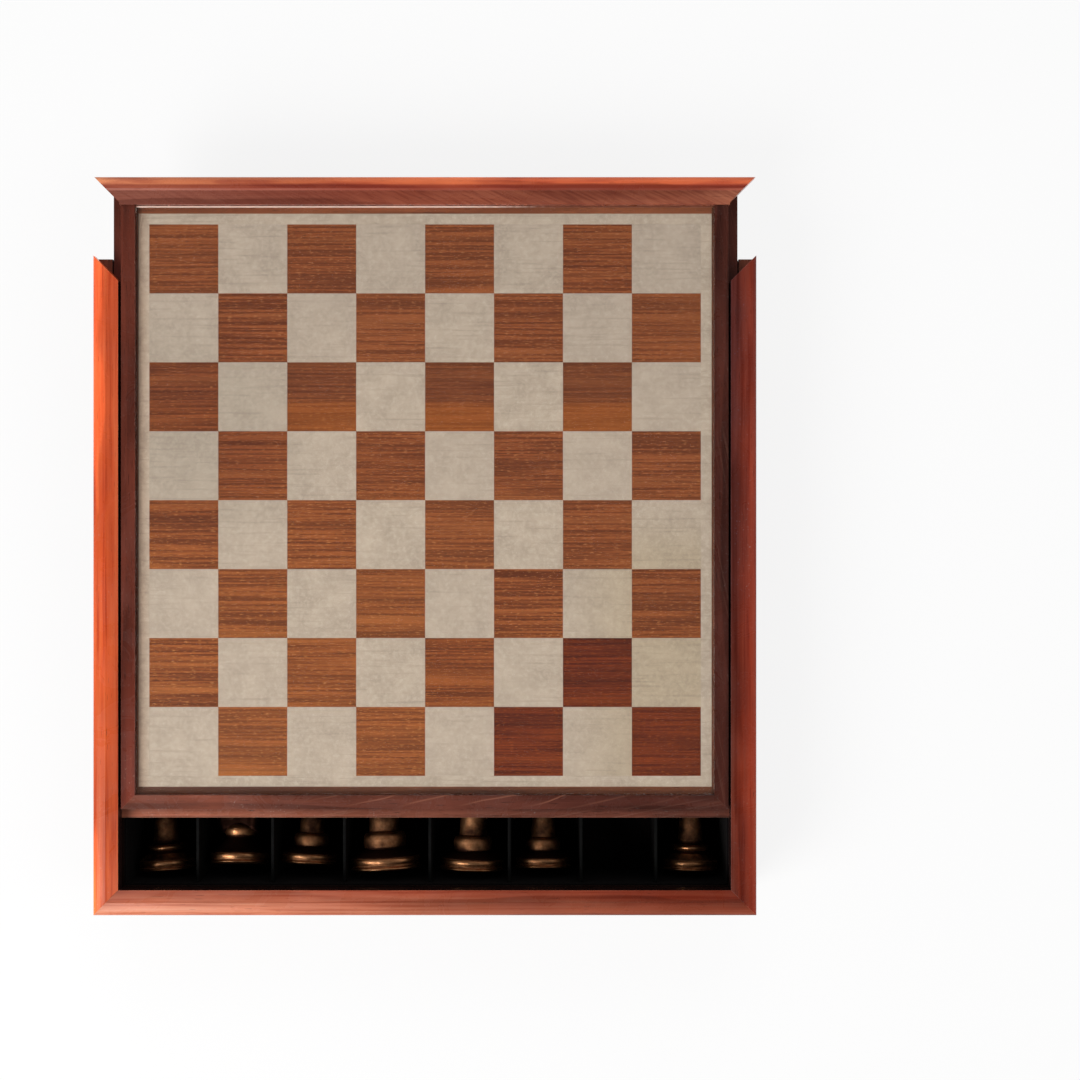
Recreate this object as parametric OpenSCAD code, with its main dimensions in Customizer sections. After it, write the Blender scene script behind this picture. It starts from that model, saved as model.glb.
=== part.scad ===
// Chess box: a shallow drawer of compartments that slides out from under a framed, glass-topped board.
// Millimetres. Origin at the centre of the drawer's base, +X right, -Y the drawer's front, +Z up.
// It is drawn with the drawer partly pulled out, which is its rest position.

/* [Playing field] */
// Side of one chess square
square = 45; // [41:0.5:60]
// Width of the pale border round the squares
border_w = 7; // [4:0.5:15]
// Width of the wood strips that show in front of the field and behind it
strip_w = 5; // [3:0.5:10]
// Width of the wood strips that show at its left and right
side_strip_w = 1.5; // [1:0.5:6]
// Thickness of the veneers, border and strips
veneer_t = 1; // [0.6:0.1:2]
// Thickness of the panel that carries them
panel_t = 6; // [4:0.5:10]
// Thickness of the glass
glass_t = 3; // [2:0.5:5]
// Depth of the glass's face below the top of the frame
glass_sunk = 2; // [0.5:0.5:4]

/* [Board frame] */
// Width of the frame's members at the top
frame_w = 9; // [7:0.5:20]
// How far the running ledge stands out from the frame
ledge_w = 7; // [4:0.5:8]
// Thickness of the running ledge
ledge_t = 6.2; // [5:0.1:8]
// How far the panel is let into the frame
panel_lap = 5; // [3:0.5:6]
// Height of the beads that hold the panel from below
bead_h = 3; // [2:0.5:6]

/* [Moulding] */
// Height of the moulding
mould_h = 10; // [9:0.5:16]
// How far the moulding stands out over the walls
mould_overhang = 1.5; // [0.5:0.5:3]
// How far the moulding reaches in past the walls
mould_lip = 0.5; // [0:0.5:1]

/* [Drawer] */
// Thickness of the walls
wall_t = 15; // [12:0.5:22]
// Clear height from the felt to the board's ledge
inner_h = 50; // [49:0.5:70]
// Thickness of the base panel
base_t = 6; // [4:0.5:10]
// How far the base panel is let into the walls
base_lap = 8; // [5:0.5:9]
// Thickness of the felt on the floor and walls
felt_t = 1; // [0.5:0.1:2]
// How far the rear wall is housed in the side walls
housing_d = 5; // [3:0.5:8]
// Thickness of the dividers
divider_t = 2; // [1.5:0.5:5]
// Height of the dividers
divider_h = 45; // [25:1:47]

/* [Sliding] */
// How far the drawer is drawn out in the rest position
open_by = 51; // [0:1:300]
// Gap between the frame and the moulding beside it
side_play = 1.5; // [1:0.5:2]
// Vertical running clearance of the ledge
run_gap = 0.3; // [0.2:0.1:0.6]
// Clearance left at the stops and mitres when the drawer is shut
stop_gap = 0.6; // [0.4:0.1:1]

/* [Men] */
// Height of the king
king_h = 111; // [90:1:115]
// Base diameter of the king
king_base = 47; // [36:0.5:48]
// Height of the queen
queen_h = 100; // [80:1:111]
// Base diameter of the queen
queen_base = 43; // [34:0.5:46]
// Height of a bishop
bishop_h = 85; // [65:1:100]
// Base diameter of a bishop
bishop_base = 38; // [30:0.5:44]
// Height of the knight
knight_h = 72; // [58:1:90]
// Base diameter of the knight
knight_base = 40; // [32:0.5:44]
// Height of a rook
rook_h = 65; // [50:1:85]
// Base diameter of a rook
rook_base = 38; // [30:0.5:44]
// Height of the pawns that the middle rows are made for
pawn_h = 57; // [45:1:66]

/* [Hidden] */
FILES = 8;
MAJORS = ["rook", "knight", "bishop", "king", "queen", "bishop", "knight", "rook"];
round_fn = 64;
saw_gap = 0.1;

// Heights, from the table up
floor_z = base_t + felt_t;
ledge_z = floor_z + inner_h;
groove_z = ledge_z - run_gap;
ledge_top = ledge_z + ledge_t;
wall_top = ledge_top + run_gap;
rail_z = wall_top + run_gap;
mould_top = wall_top + mould_h;
panel_z = ledge_z + bead_h;
veneer_z = panel_z + panel_t;
glass_z = veneer_z + veneer_t;
glass_top = glass_z + glass_t;
frame_top = glass_top + glass_sunk;

// Half widths, from the middle out
field = FILES * square;
veneer_w = field + 2 * border_w;
opening_x = veneer_w / 2 + side_strip_w;
frame_x = opening_x + frame_w;
ledge_x = frame_x + ledge_w;
mould_in_x = frame_x + side_play;
inner_x = mould_in_x + mould_lip;
groove_x = ledge_x + stop_gap;
wall_x = inner_x + wall_t;
mould_x = wall_x + mould_overhang;
mould_w = mould_x - mould_in_x;

// Places from front to rear, with the drawer shut
opening_d = veneer_w + 2 * strip_w;
rail_w = mould_w + side_play;
shut_d = mould_w + side_play + frame_w + opening_d + rail_w;
mould_front_y = -shut_d / 2;
mould_in_y = mould_front_y + mould_w;
wall_front_y = mould_front_y + mould_overhang;
inner_front_y = wall_front_y + wall_t;
frame_front_y = mould_in_y + side_play;
ledge_front_y = frame_front_y - ledge_w;
opening_front_y = frame_front_y + frame_w;
opening_rear_y = opening_front_y + opening_d;
rail_rear_y = -mould_front_y;
wall_rear_y = -wall_front_y;
inner_rear_y = -inner_front_y;
field_y = (opening_front_y + opening_rear_y) / 2;

// Compartments: each is its man's base, or height, plus the same room
lined_x = inner_x - felt_t;
lined_front_y = inner_front_y + felt_t;
lined_rear_y = inner_rear_y - felt_t;
bases = [for (man = MAJORS) base_of(man)];
file_room = (2 * lined_x - (FILES - 1) * divider_t - total(bases)) / FILES;
rank_room = (lined_rear_y - lined_front_y - 3 * divider_t - 2 * king_h - 2 * pawn_h) / 4;
rank_depths = [king_h + rank_room, pawn_h + rank_room, pawn_h + rank_room, king_h + rank_room];
grid_gap = 0.3;
felt_top = groove_z - 1;

// How each man lies: sideways from its compartment's middle, clear of the front lining, and its turn
king_lie = [-2.7, 1.8, 3];
queen_lie = [0.6, 1.2, -2];
left_bishop_lie = [-3, 4.8, -3];
right_bishop_lie = [-1.2, 1.8, 0];
knight_lie = [-1.7, 2.2, 0];
left_rook_lie = [-2.4, 1.4, 3];
right_rook_lie = [1.2, 1.3, -1];
lie_gap = 0.1;

// Fasteners
screw_r = 1.6;
screw_head_r = 3.2;
screw_head_t = 2;
screw_sink = 0.3;
screw_l = 16;
rail_screw_l = 13;
brad_r = 0.6;
brad_l = 9;
brads_a_side = 4;
screws_a_side = 3;
rail_screws_n = 5;
fastener_gap = 0.02;

function base_of(man) =
    man == "king" ? king_base : man == "queen" ? queen_base : man == "bishop" ? bishop_base
    : man == "knight" ? knight_base : rook_base;
function total(list, n = undef) =
    let (count = is_undef(n) ? len(list) : n) count == 0 ? 0 : list[count - 1] + total(list, count - 1);
// Low edge of a file or rank of compartments
function file_x(i) = -lined_x + total(bases, i) + i * (file_room + divider_t);
function rank_y(i) = lined_front_y + total(rank_depths, i) + i * divider_t;
function file_middle(i) = file_x(i) + (bases[i] + file_room) / 2;
// Evenly spaced places along a length, none at the ends
function spaced(n, low, high) = [for (i = [1:n]) low + (high - low) * (i - 0.5) / n];
function arc(x, y, r_x, r_y, from, to, steps) =
    [for (i = [0:steps]) let (a = from + (to - from) * i / steps) [x + r_x * cos(a), y + r_y * sin(a)]];

// Half outlines of the men, from the base up: [radius, height]. Each ends on its axis.
foot_share = 0.54;
ring_share = 0.28;
ring_slim = 0.98;
// Two rings round the rim, then a bell up to the ledge that the stem stands on
function foot(base) = let (r = base / 2, h = foot_share * base) [
    [0, 0], [r - 0.6, 0], [r, 0.5], [r, 0.07 * h], [0.95 * r, 0.1 * h], [ring_slim * r, 0.14 * h],
    [ring_slim * r, ring_share * h], [0.92 * r, 0.36 * h], [0.8 * r, 0.5 * h], [0.68 * r, 0.66 * h],
    [0.62 * r, 0.81 * h], [0.6 * r, 0.95 * h], [0.57 * r, h]];
// A wide collar and two slimmer rings under the head
function collars(r, z) = [[0.62 * r, z], [0.97 * r, z + 0.8], [r, z + 2.6], [0.8 * r, z + 3.6], [0.62 * r, z + 4],
    [0.76 * r, z + 4.8], [0.76 * r, z + 5.8], [0.62 * r, z + 6.4], [0.74 * r, z + 7.2], [0.74 * r, z + 8.2],
    [0.66 * r, z + 9]];
collars_h = 9;
function turned(base, collar_r, head_z, head) =
    concat(foot(base), [[0.22 * base, foot_share * base]], collars(collar_r, head_z - collars_h), head);
function crown(r, z, top) = [[r, top - 1.5], [0.97 * r, top], [0.6 * r, top + 0.6]];

king_crown_top = 0.84 * king_h;
king_outline = turned(king_base, 13, 0.7 * king_h, concat(
    crown(12.5, 0.7 * king_h, king_crown_top),
    [[0.46 * 12.5, king_crown_top + 2], [0, king_crown_top + 2.4]]));
queen_crown_top = 0.88 * queen_h;
queen_outline = turned(queen_base, 12, 0.71 * queen_h, concat(
    crown(11.5, 0.71 * queen_h, queen_crown_top),
    [[6, queen_crown_top + 2.4], [2.4, queen_crown_top + 4], [3.8, queen_crown_top + 7]],
    [[2.6, queen_h - 0.6], [0, queen_h]]));
bishop_head_z = 0.68 * bishop_h;
bishop_head_h = 0.25 * bishop_h;
bishop_outline = turned(bishop_base, 10.5, bishop_head_z, concat(
    arc(0, bishop_head_z + 0.4 * bishop_head_h, 9, 0.6 * bishop_head_h, -36, 66, 7),
    [[2.2, bishop_head_z + bishop_head_h], [3.2, bishop_head_z + bishop_head_h + 2.4], [2, bishop_h - 0.4]],
    [[0, bishop_h]]));
rook_head_z = 0.68 * rook_h;
rook_outline = turned(rook_base, 11.5, rook_head_z, [
    [9.2, rook_head_z + 0.06 * rook_h], [12, rook_head_z + 0.14 * rook_h], [12, rook_h], [8, rook_h],
    [8, rook_h - 5], [0, rook_h - 5]]);
// A horse's head and neck from the side: [forward, up], as shares of the height above the foot
knight_head = [[-0.25, 0], [-0.33, 0.23], [-0.3, 0.44], [-0.35, 0.8], [-0.34, 0.92], [-0.26, 1], [-0.11, 0.98],
    [-0.07, 0.93], [0.28, 0.9], [0.27, 0.81], [0.17, 0.78], [0.25, 0.74], [0.25, 0.7], [0.13, 0.69],
    [0.06, 0.6], [0.22, 0.44], [0.28, 0.3], [0.27, 0.1], [0.25, 0]];
knight_head_t = 16;

// ---- Shared shapes ----

module box(low, high) {
    translate(low)
        cube(high - low);
}

// A section [outwards, up] run along the front or rear, its outwards side towards -Y
module run_x(section, half) {
    rotate([90, 0, 90])
        translate([0, 0, -half])
            linear_extrude(2 * half)
                polygon([for (p = section) [-p[0], p[1]]]);
}

// The same section run along a side, its outwards side towards +X
module run_y(section, from, to) {
    translate([0, to, 0])
        rotate([90, 0, 0])
            linear_extrude(to - from)
                polygon(section);
}

// All that lies in front of the two 45 degree lines through a front corner, [x, y]
module front_mitre(corner) {
    reach = corner[0] + abs(corner[1]);
    translate([0, 0, -1])
        linear_extrude(2 * mould_top)
            polygon([[-reach, corner[1] - reach + corner[0]], [reach, corner[1] - reach + corner[0]],
                [0, corner[1] + corner[0]]]);
}

// Places its children where the board stands over the drawn-out drawer
module over_drawer() {
    translate([0, open_by, 0])
        children();
}

// A countersunk screw driven upwards, its head a little below the face
module screw(length, gap = 0) {
    translate([0, 0, screw_sink]) {
        cylinder(h = screw_head_t, r1 = screw_head_r + gap, r2 = screw_r + gap, $fn = round_fn);
        cylinder(h = length + gap, r = screw_r + gap, $fn = round_fn);
    }
}

module screw_hole(length) {
    screw(length, fastener_gap);
    translate([0, 0, -1])
        cylinder(h = 1 + screw_sink, r = screw_head_r + fastener_gap, $fn = round_fn);
}

// ---- Drawer walls and base ----

// Section of a wall: a rebate below for the base panel, and one above that the ledge runs in
function wall_section(in, groove, out) = [
    [out, 0], [in + base_lap, 0], [in + base_lap, base_t], [in, base_t], [in, groove_z],
    [groove, groove_z], [groove, wall_top], [out, wall_top]];

module base_screw_places() {
    side_x = inner_x + base_lap / 2;
    front_y = inner_front_y - base_lap / 2;
    for (y = spaced(screws_a_side, front_y, -front_y), side = [-1, 1])
        translate([side * side_x, y, 0])
            children();
    for (x = spaced(screws_a_side, -side_x, side_x), side = [-1, 1])
        translate([x, side * front_y, 0])
            children();
}

module side_wall(side) {
    color("saddlebrown")
        difference() {
            mirror([side < 0 ? 1 : 0, 0, 0])
                run_y(wall_section(inner_x, groove_x, wall_x), wall_front_y, wall_rear_y);
            front_mitre([wall_x, wall_front_y]);
            box([-inner_x - housing_d, inner_rear_y, -1], [inner_x + housing_d, wall_rear_y + 1, groove_z]);
            base_screw_places()
                screw_hole(screw_l);
        }
}

module front_wall() {
    ledge_y = -ledge_front_y + stop_gap;
    color("saddlebrown")
        difference() {
            intersection() {
                run_x(wall_section(-inner_front_y, ledge_y, -wall_front_y), wall_x);
                front_mitre([wall_x, wall_front_y]);
            }
            base_screw_places()
                screw_hole(screw_l);
        }
}

module rear_wall() {
    top = groove_z - run_gap;
    color("saddlebrown")
        difference() {
            box([-inner_x - housing_d, inner_rear_y, 0], [inner_x + housing_d, wall_rear_y, top]);
            box([-inner_x - base_lap, 0, -1], [inner_x + base_lap, inner_rear_y + base_lap, base_t]);
            base_screw_places()
                screw_hole(screw_l);
        }
}

module base_panel() {
    x = inner_x + base_lap - saw_gap;
    y = inner_rear_y + base_lap - saw_gap;
    color("peru")
        difference() {
            box([-x, -y, 0], [x, y, base_t]);
            base_screw_places()
                screw_hole(screw_l);
        }
}

module base_screws() {
    color("darkgoldenrod")
        base_screw_places()
            screw(screw_l);
}

// ---- Moulding: a rounded outer edge, a slope up to a ridge, and a flat ----

function mould_section(in, out, bottom) =
    let (
        top = wall_top + mould_h,
        round_w = 5.6, round_h = 3, round_top = top - 0.8,
        slope_w = 2.8, ridge_w = 0.8, flat_drop = 0.3,
        ridge_x = out - round_w - slope_w
    )
    concat(
        [[in, bottom], [out, bottom]],
        arc(out - round_w, round_top - round_h, round_w, round_h, 0, 90, 6),
        [[ridge_x, top], [ridge_x - ridge_w, top], [ridge_x - ridge_w - flat_drop, top - flat_drop],
            [in, top - flat_drop]]);

// Mitred at the front, and at the rear to meet the rail's ends when the drawer is shut
module side_moulding(side) {
    color("orangered")
        difference() {
            mirror([side < 0 ? 1 : 0, 0, 0])
                run_y(mould_section(mould_in_x, mould_x, wall_top), mould_front_y, rail_rear_y);
            front_mitre([mould_x, mould_front_y]);
            rotate([0, 0, 180])
                front_mitre([mould_x, mould_front_y]);
        }
}

module front_moulding() {
    color("orangered")
        intersection() {
            run_x(mould_section(-mould_in_y, -mould_front_y, wall_top), mould_x);
            front_mitre([mould_x, mould_front_y]);
        }
}

// ---- Felt and dividers ----

module felt(low, high) {
    color([0.08, 0.07, 0.07])
        box(low, high);
}

module side_felt(side) {
    x = side < 0 ? -inner_x : lined_x;
    felt([x, inner_front_y, floor_z], [x + felt_t, inner_rear_y, felt_top]);
}

module end_felt(y) {
    felt([-lined_x, y, floor_z], [lined_x, y + felt_t, felt_top]);
}

// Runs from front to rear between files n and n + 1, slotted from above
module file_divider(n) {
    x = file_x(n) - divider_t;
    color([0.2, 0.17, 0.15])
        difference() {
            box([x, lined_front_y + grid_gap, floor_z], [x + divider_t, lined_rear_y - grid_gap, floor_z + divider_h]);
            for (rank = [1:3])
                box([x - 1, rank_y(rank) - divider_t - saw_gap, floor_z + divider_h / 2],
                    [x + divider_t + 1, rank_y(rank) + saw_gap, floor_z + divider_h + 1]);
        }
}

// Runs from left to right between ranks n and n + 1, slotted from below
module rank_divider(n) {
    y = rank_y(n) - divider_t;
    color([0.2, 0.17, 0.15])
        difference() {
            box([-lined_x + grid_gap, y, floor_z], [lined_x - grid_gap, y + divider_t, floor_z + divider_h]);
            for (file = [1:FILES - 1])
                box([file_x(file) - divider_t - saw_gap, y - 1, floor_z - 1],
                    [file_x(file) + saw_gap, y + divider_t + 1, floor_z + divider_h / 2]);
        }
}

// ---- Men, each lying on the upper ring of its foot and on its head, foot to the front ----

// The least slope from the foot's upper ring to any point further up is the one it lies at
function lie_angle(outline, base) =
    let (r = ring_slim * base / 2, z = ring_share * foot_share * base)
    atan(min([for (p = outline) if (p[1] > z + 1) (r - p[0]) / (p[1] - z)]));

module laid(file, base, tilt, lie) {
    ring_z = ring_share * foot_share * base;
    axis_z = ring_slim * base / 2 * cos(tilt) + ring_z * sin(tilt);
    translate([file_middle(file) + lie[0], lined_front_y + lie[1] + base / 2 * sin(tilt), floor_z + lie_gap + axis_z])
        rotate([0, 0, lie[2]])
            rotate([-90 - tilt, 0, 0])
                children();
}

module lathe(outline) {
    color([0.62, 0.36, 0.26])
        rotate_extrude($fn = round_fn)
            polygon(outline);
}

module rook(file, lie) {
    cut_w = 3.2;
    cut_h = 4;
    laid(file, rook_base, lie_angle(rook_outline, rook_base), lie)
        difference() {
            lathe(rook_outline);
            for (turn = [0:60:120])
                rotate([0, 0, turn])
                    box([-rook_base, -cut_w / 2, rook_h - cut_h], [rook_base, cut_w / 2, rook_h + 1]);
        }
}

module knight() {
    foot_h = foot_share * knight_base;
    tilt = atan((ring_slim * knight_base / 2 - knight_head_t / 2) / (knight_h - ring_share * foot_h));
    laid(1, knight_base, tilt, knight_lie) {
        lathe(concat(foot(knight_base), [[0, foot_h]]));
        color([0.62, 0.36, 0.26])
            translate([0, knight_head_t / 2, foot_h - 0.5])
                rotate([90, 0, 0])
                    linear_extrude(knight_head_t)
                        polygon((knight_h - foot_h) * knight_head);
    }
}

module bishop(file, lie) {
    slit_w = 1.4;
    laid(file, bishop_base, lie_angle(bishop_outline, bishop_base), lie)
        difference() {
            lathe(bishop_outline);
            translate([2, 0, bishop_head_z + 0.72 * bishop_head_h])
                rotate([0, -40, 0])
                    box([0, -bishop_base, -slit_w / 2], [bishop_base, bishop_base, slit_w / 2]);
        }
}

// The king's cross, from its foot in the crown to the king's height
module cross(from, top) {
    h = top - from;
    t = 3.4;
    color([0.62, 0.36, 0.26])
        translate([0, t / 2, from])
            rotate([90, 0, 0])
                linear_extrude(t)
                    polygon([[-2.4, 0], [2.4, 0], [1.3, 0.42 * h], [5.6, 0.34 * h], [5.6, 0.76 * h], [1.3, 0.66 * h],
                        [2.2, h], [-2.2, h], [-1.3, 0.66 * h], [-5.6, 0.76 * h], [-5.6, 0.34 * h], [-1.3, 0.42 * h]]);
}

module king() {
    laid(3, king_base, lie_angle(king_outline, king_base), king_lie) {
        lathe(king_outline);
        cross(king_crown_top + 1, king_h);
    }
}

module queen() {
    scallop_r = 2.2;
    laid(4, queen_base, lie_angle(queen_outline, queen_base), queen_lie)
        difference() {
            lathe(queen_outline);
            for (turn = [0:45:315])
                rotate([0, 0, turn])
                    translate([11, 0, queen_crown_top + 0.8])
                        rotate([0, -90, 0])
                            cylinder(h = 6, r = scallop_r, center = true, $fn = 24);
        }
}

// ---- Board frame and rail ----

// Section of the frame: a ledge outside below, and a rebate inside for the panel and its bead
function frame_section(in) = [
    [in, veneer_z], [in, frame_top], [in + frame_w, frame_top], [in + frame_w, ledge_top],
    [in + frame_w + ledge_w, ledge_top], [in + frame_w + ledge_w, ledge_z], [in + panel_lap, ledge_z],
    [in + panel_lap, veneer_z]];

// Under the rail only the ledge and the web beside it run on to the rear
function tail_section(in) = [
    [in + panel_lap, ledge_z], [in + frame_w + ledge_w, ledge_z], [in + frame_w + ledge_w, ledge_top],
    [in + frame_w, ledge_top], [in + frame_w, rail_z], [in + panel_lap, rail_z]];

module frame_side(side) {
    color("sienna")
        over_drawer()
            difference() {
                mirror([side < 0 ? 1 : 0, 0, 0])
                    union() {
                        run_y(frame_section(opening_x), ledge_front_y, opening_rear_y);
                        run_y(tail_section(opening_x), opening_rear_y - 1, wall_rear_y);
                    }
                front_mitre([ledge_x, ledge_front_y]);
                brad_places()
                    brad(fastener_gap);
            }
}

module frame_front() {
    color("sienna")
        over_drawer()
            difference() {
                intersection() {
                    run_x(frame_section(-opening_front_y), ledge_x);
                    front_mitre([ledge_x, ledge_front_y]);
                }
                brad_places()
                    brad(fastener_gap);
            }
}

module rail_screw_places() {
    y = (opening_rear_y + panel_lap + wall_rear_y) / 2;
    for (x = spaced(rail_screws_n, -opening_x, opening_x))
        translate([x, y, ledge_z])
            children();
}

// Joins the side members under the rail, at the height of the ledge
module rear_batten() {
    x = opening_x + panel_lap;
    color("sienna")
        over_drawer()
            difference() {
                box([-x, opening_rear_y + panel_lap, ledge_z], [x, wall_rear_y, rail_z]);
                rail_screw_places()
                    screw_hole(rail_screw_l);
                brad_places()
                    brad(fastener_gap);
            }
}

// The moulding that closes the rear: it stays with the board, and its mitred ends meet the drawer's
module rear_rail() {
    tip_x = mould_x - stop_gap;
    in_x = mould_in_x - stop_gap;
    color("orangered")
        over_drawer()
            difference() {
                intersection() {
                    rotate([0, 0, 180])
                        run_x(mould_section(-opening_rear_y, rail_rear_y, rail_z), mould_x);
                    linear_extrude(2 * mould_top)
                        polygon([[-tip_x, rail_rear_y], [tip_x, rail_rear_y], [in_x, rail_rear_y - mould_w],
                            [in_x, opening_rear_y], [-in_x, opening_rear_y], [-in_x, rail_rear_y - mould_w]]);
                }
                box([-opening_x - panel_lap, opening_rear_y - 1, rail_z - 1],
                    [opening_x + panel_lap, opening_rear_y + panel_lap, veneer_z]);
                rail_screw_places()
                    screw_hole(rail_screw_l);
            }
}

module rail_screws() {
    color("silver")
        over_drawer()
            rail_screw_places()
                screw(rail_screw_l);
}

// ---- Panel, beads and brads ----

module board_panel() {
    x = opening_x + panel_lap - saw_gap;
    color("burlywood")
        over_drawer()
            box([-x, opening_front_y - panel_lap + saw_gap, panel_z],
                [x, opening_rear_y + panel_lap - saw_gap, veneer_z]);
}

module bead(low, high) {
    color("peru")
        over_drawer()
            difference() {
                box(concat(low, ledge_z), concat(high, panel_z));
                brad_places()
                    brad(fastener_gap);
            }
}

module side_bead(side) {
    x = side < 0 ? -opening_x - panel_lap : opening_x;
    bead([x, opening_front_y - panel_lap], [x + panel_lap, opening_rear_y + panel_lap]);
}

module end_bead(y) {
    bead([-opening_x, y], [opening_x, y + panel_lap]);
}

// Brads go outwards through the beads, halfway up them
module brad(gap = 0) {
    rotate([0, 90, 0])
        cylinder(h = brad_l + gap, r = brad_r + gap, $fn = 24);
}

module brad_places() {
    z = ledge_z + bead_h / 2;
    for (side = [0, 180], y = spaced(brads_a_side, opening_front_y, opening_rear_y))
        translate([0, y, z])
            rotate([0, 0, side])
                translate([opening_x, 0, 0])
                    children();
    for (x = spaced(brads_a_side, -opening_x, opening_x)) {
        translate([x, opening_front_y, z])
            rotate([0, 0, -90])
                children();
        translate([x, opening_rear_y, z])
            rotate([0, 0, 90])
                children();
    }
}

module bead_brads() {
    color("silver")
        over_drawer()
            brad_places()
                brad();
}

// ---- Squares, border, strips and glass ----

// Squares of one colour: dark where parity is 1, counted from the left front
module squares(parity, tint) {
    color(tint)
        over_drawer()
            for (file = [0:FILES - 1], rank = [0:FILES - 1])
                if ((file + rank) % 2 == parity)
                    translate([file * square - field / 2, field_y + rank * square - field / 2, veneer_z])
                        cube([square, square, veneer_t]);
}

module border_veneer() {
    half = field / 2;
    edge = veneer_w / 2;
    color([0.75, 0.68, 0.6])
        over_drawer()
            translate([0, field_y, 0]) {
                for (side = [-1, 1])
                    box([min(side * half, side * edge), -edge, veneer_z], [max(side * half, side * edge), edge, glass_z]);
                for (side = [-1, 1])
                    box([-half, min(side * half, side * edge), veneer_z], [half, max(side * half, side * edge), glass_z]);
            }
}

module strip(low, high) {
    color("sienna")
        over_drawer()
            box(concat(low, veneer_z), concat(high, glass_z));
}

module side_strip(side) {
    x = side < 0 ? -opening_x : veneer_w / 2;
    strip([x, opening_front_y], [x + side_strip_w, opening_rear_y]);
}

module end_strip(y) {
    strip([-veneer_w / 2, y], [veneer_w / 2, y + strip_w]);
}

module glass_sheet() {
    x = opening_x - grid_gap;
    color([0.85, 0.9, 0.9, 0.35])
        over_drawer()
            box([-x, opening_front_y + grid_gap, glass_z], [x, opening_rear_y - grid_gap, glass_top]);
}

side_wall(-1);  // left_wall
side_wall(1);  // right_wall
front_wall();
rear_wall();
base_panel();
base_screws();
side_moulding(-1);  // left_moulding
side_moulding(1);  // right_moulding
front_moulding();
felt([-inner_x, inner_front_y, base_t], [inner_x, inner_rear_y, floor_z]);  // floor_felt
side_felt(-1);  // left_felt
side_felt(1);  // right_felt
end_felt(inner_front_y);  // front_felt
end_felt(lined_rear_y);  // rear_felt
file_divider(1);  // file_divider_1
file_divider(2);  // file_divider_2
file_divider(3);  // file_divider_3
file_divider(4);  // file_divider_4
file_divider(5);  // file_divider_5
file_divider(6);  // file_divider_6
file_divider(7);  // file_divider_7
rank_divider(1);  // rank_divider_1
rank_divider(2);  // rank_divider_2
rank_divider(3);  // rank_divider_3
rook(0, left_rook_lie);  // left_rook
knight();
bishop(2, left_bishop_lie);  // left_bishop
king();
queen();
bishop(5, right_bishop_lie);  // right_bishop
rook(7, right_rook_lie);  // right_rook
frame_side(-1);  // frame_left
frame_side(1);  // frame_right
frame_front();
rear_batten();
rear_rail();
rail_screws();
board_panel();
squares(1, "sienna");  // dark_squares
squares(0, [0.75, 0.68, 0.6]);  // light_squares
border_veneer();
side_strip(-1);  // left_strip
side_strip(1);  // right_strip
end_strip(opening_front_y);  // front_strip
end_strip(opening_rear_y - strip_w);  // rear_strip
glass_sheet();
side_bead(-1);  // left_bead
side_bead(1);  // right_bead
end_bead(opening_front_y - panel_lap);  // front_bead
end_bead(opening_rear_y);  // rear_bead
bead_brads();
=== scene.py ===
import math
from functools import partialmethod

import bmesh
import bpy
import numpy as np
from mathutils import Matrix, Vector, noise


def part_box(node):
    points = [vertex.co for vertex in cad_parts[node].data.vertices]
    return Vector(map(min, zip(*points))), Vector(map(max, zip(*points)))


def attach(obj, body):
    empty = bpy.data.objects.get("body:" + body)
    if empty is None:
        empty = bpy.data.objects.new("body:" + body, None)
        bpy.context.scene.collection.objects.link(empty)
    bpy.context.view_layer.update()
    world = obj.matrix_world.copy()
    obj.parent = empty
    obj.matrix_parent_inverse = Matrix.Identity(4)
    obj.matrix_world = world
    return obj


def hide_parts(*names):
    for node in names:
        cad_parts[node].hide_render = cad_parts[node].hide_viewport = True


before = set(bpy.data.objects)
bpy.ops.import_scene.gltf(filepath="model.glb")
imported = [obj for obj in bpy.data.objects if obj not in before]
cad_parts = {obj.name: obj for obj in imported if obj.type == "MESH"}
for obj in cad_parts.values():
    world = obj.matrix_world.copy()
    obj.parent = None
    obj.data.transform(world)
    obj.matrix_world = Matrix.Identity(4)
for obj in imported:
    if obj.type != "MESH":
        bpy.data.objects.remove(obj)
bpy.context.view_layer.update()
MM = 0.001

# ---- Drawer walls ----
# Four boards of dark red-brown hardwood, mitred at the front and glued, with the rear one housed
# between the sides. Saw-cut edges are only just eased, and the varnish has rubbed thin along them.


def feed(socket, value):
    """Sets an input, or links it where the value is another node's output."""
    if isinstance(value, Wire):
        socket.id_data.links.new(value.socket, socket)
    else:
        socket.default_value = value


def dress(node, **values):
    """Feeds a node's inputs by name."""
    for label, value in values.items():
        feed(node.inputs[label.replace("_", " ")], value)


def put(tree, kind, *by_index, out=0, sets=(), **by_name):
    """Adds a node with its settings and inputs, and returns one of its outputs."""
    node = tree.nodes.new(kind)
    for key, value in dict(sets).items():
        setattr(node, key, value)
    for socket, value in zip(node.inputs, by_index):
        if value is not None:
            feed(socket, value)
    dress(node, **by_name)
    return Wire(node.outputs[out])


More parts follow.
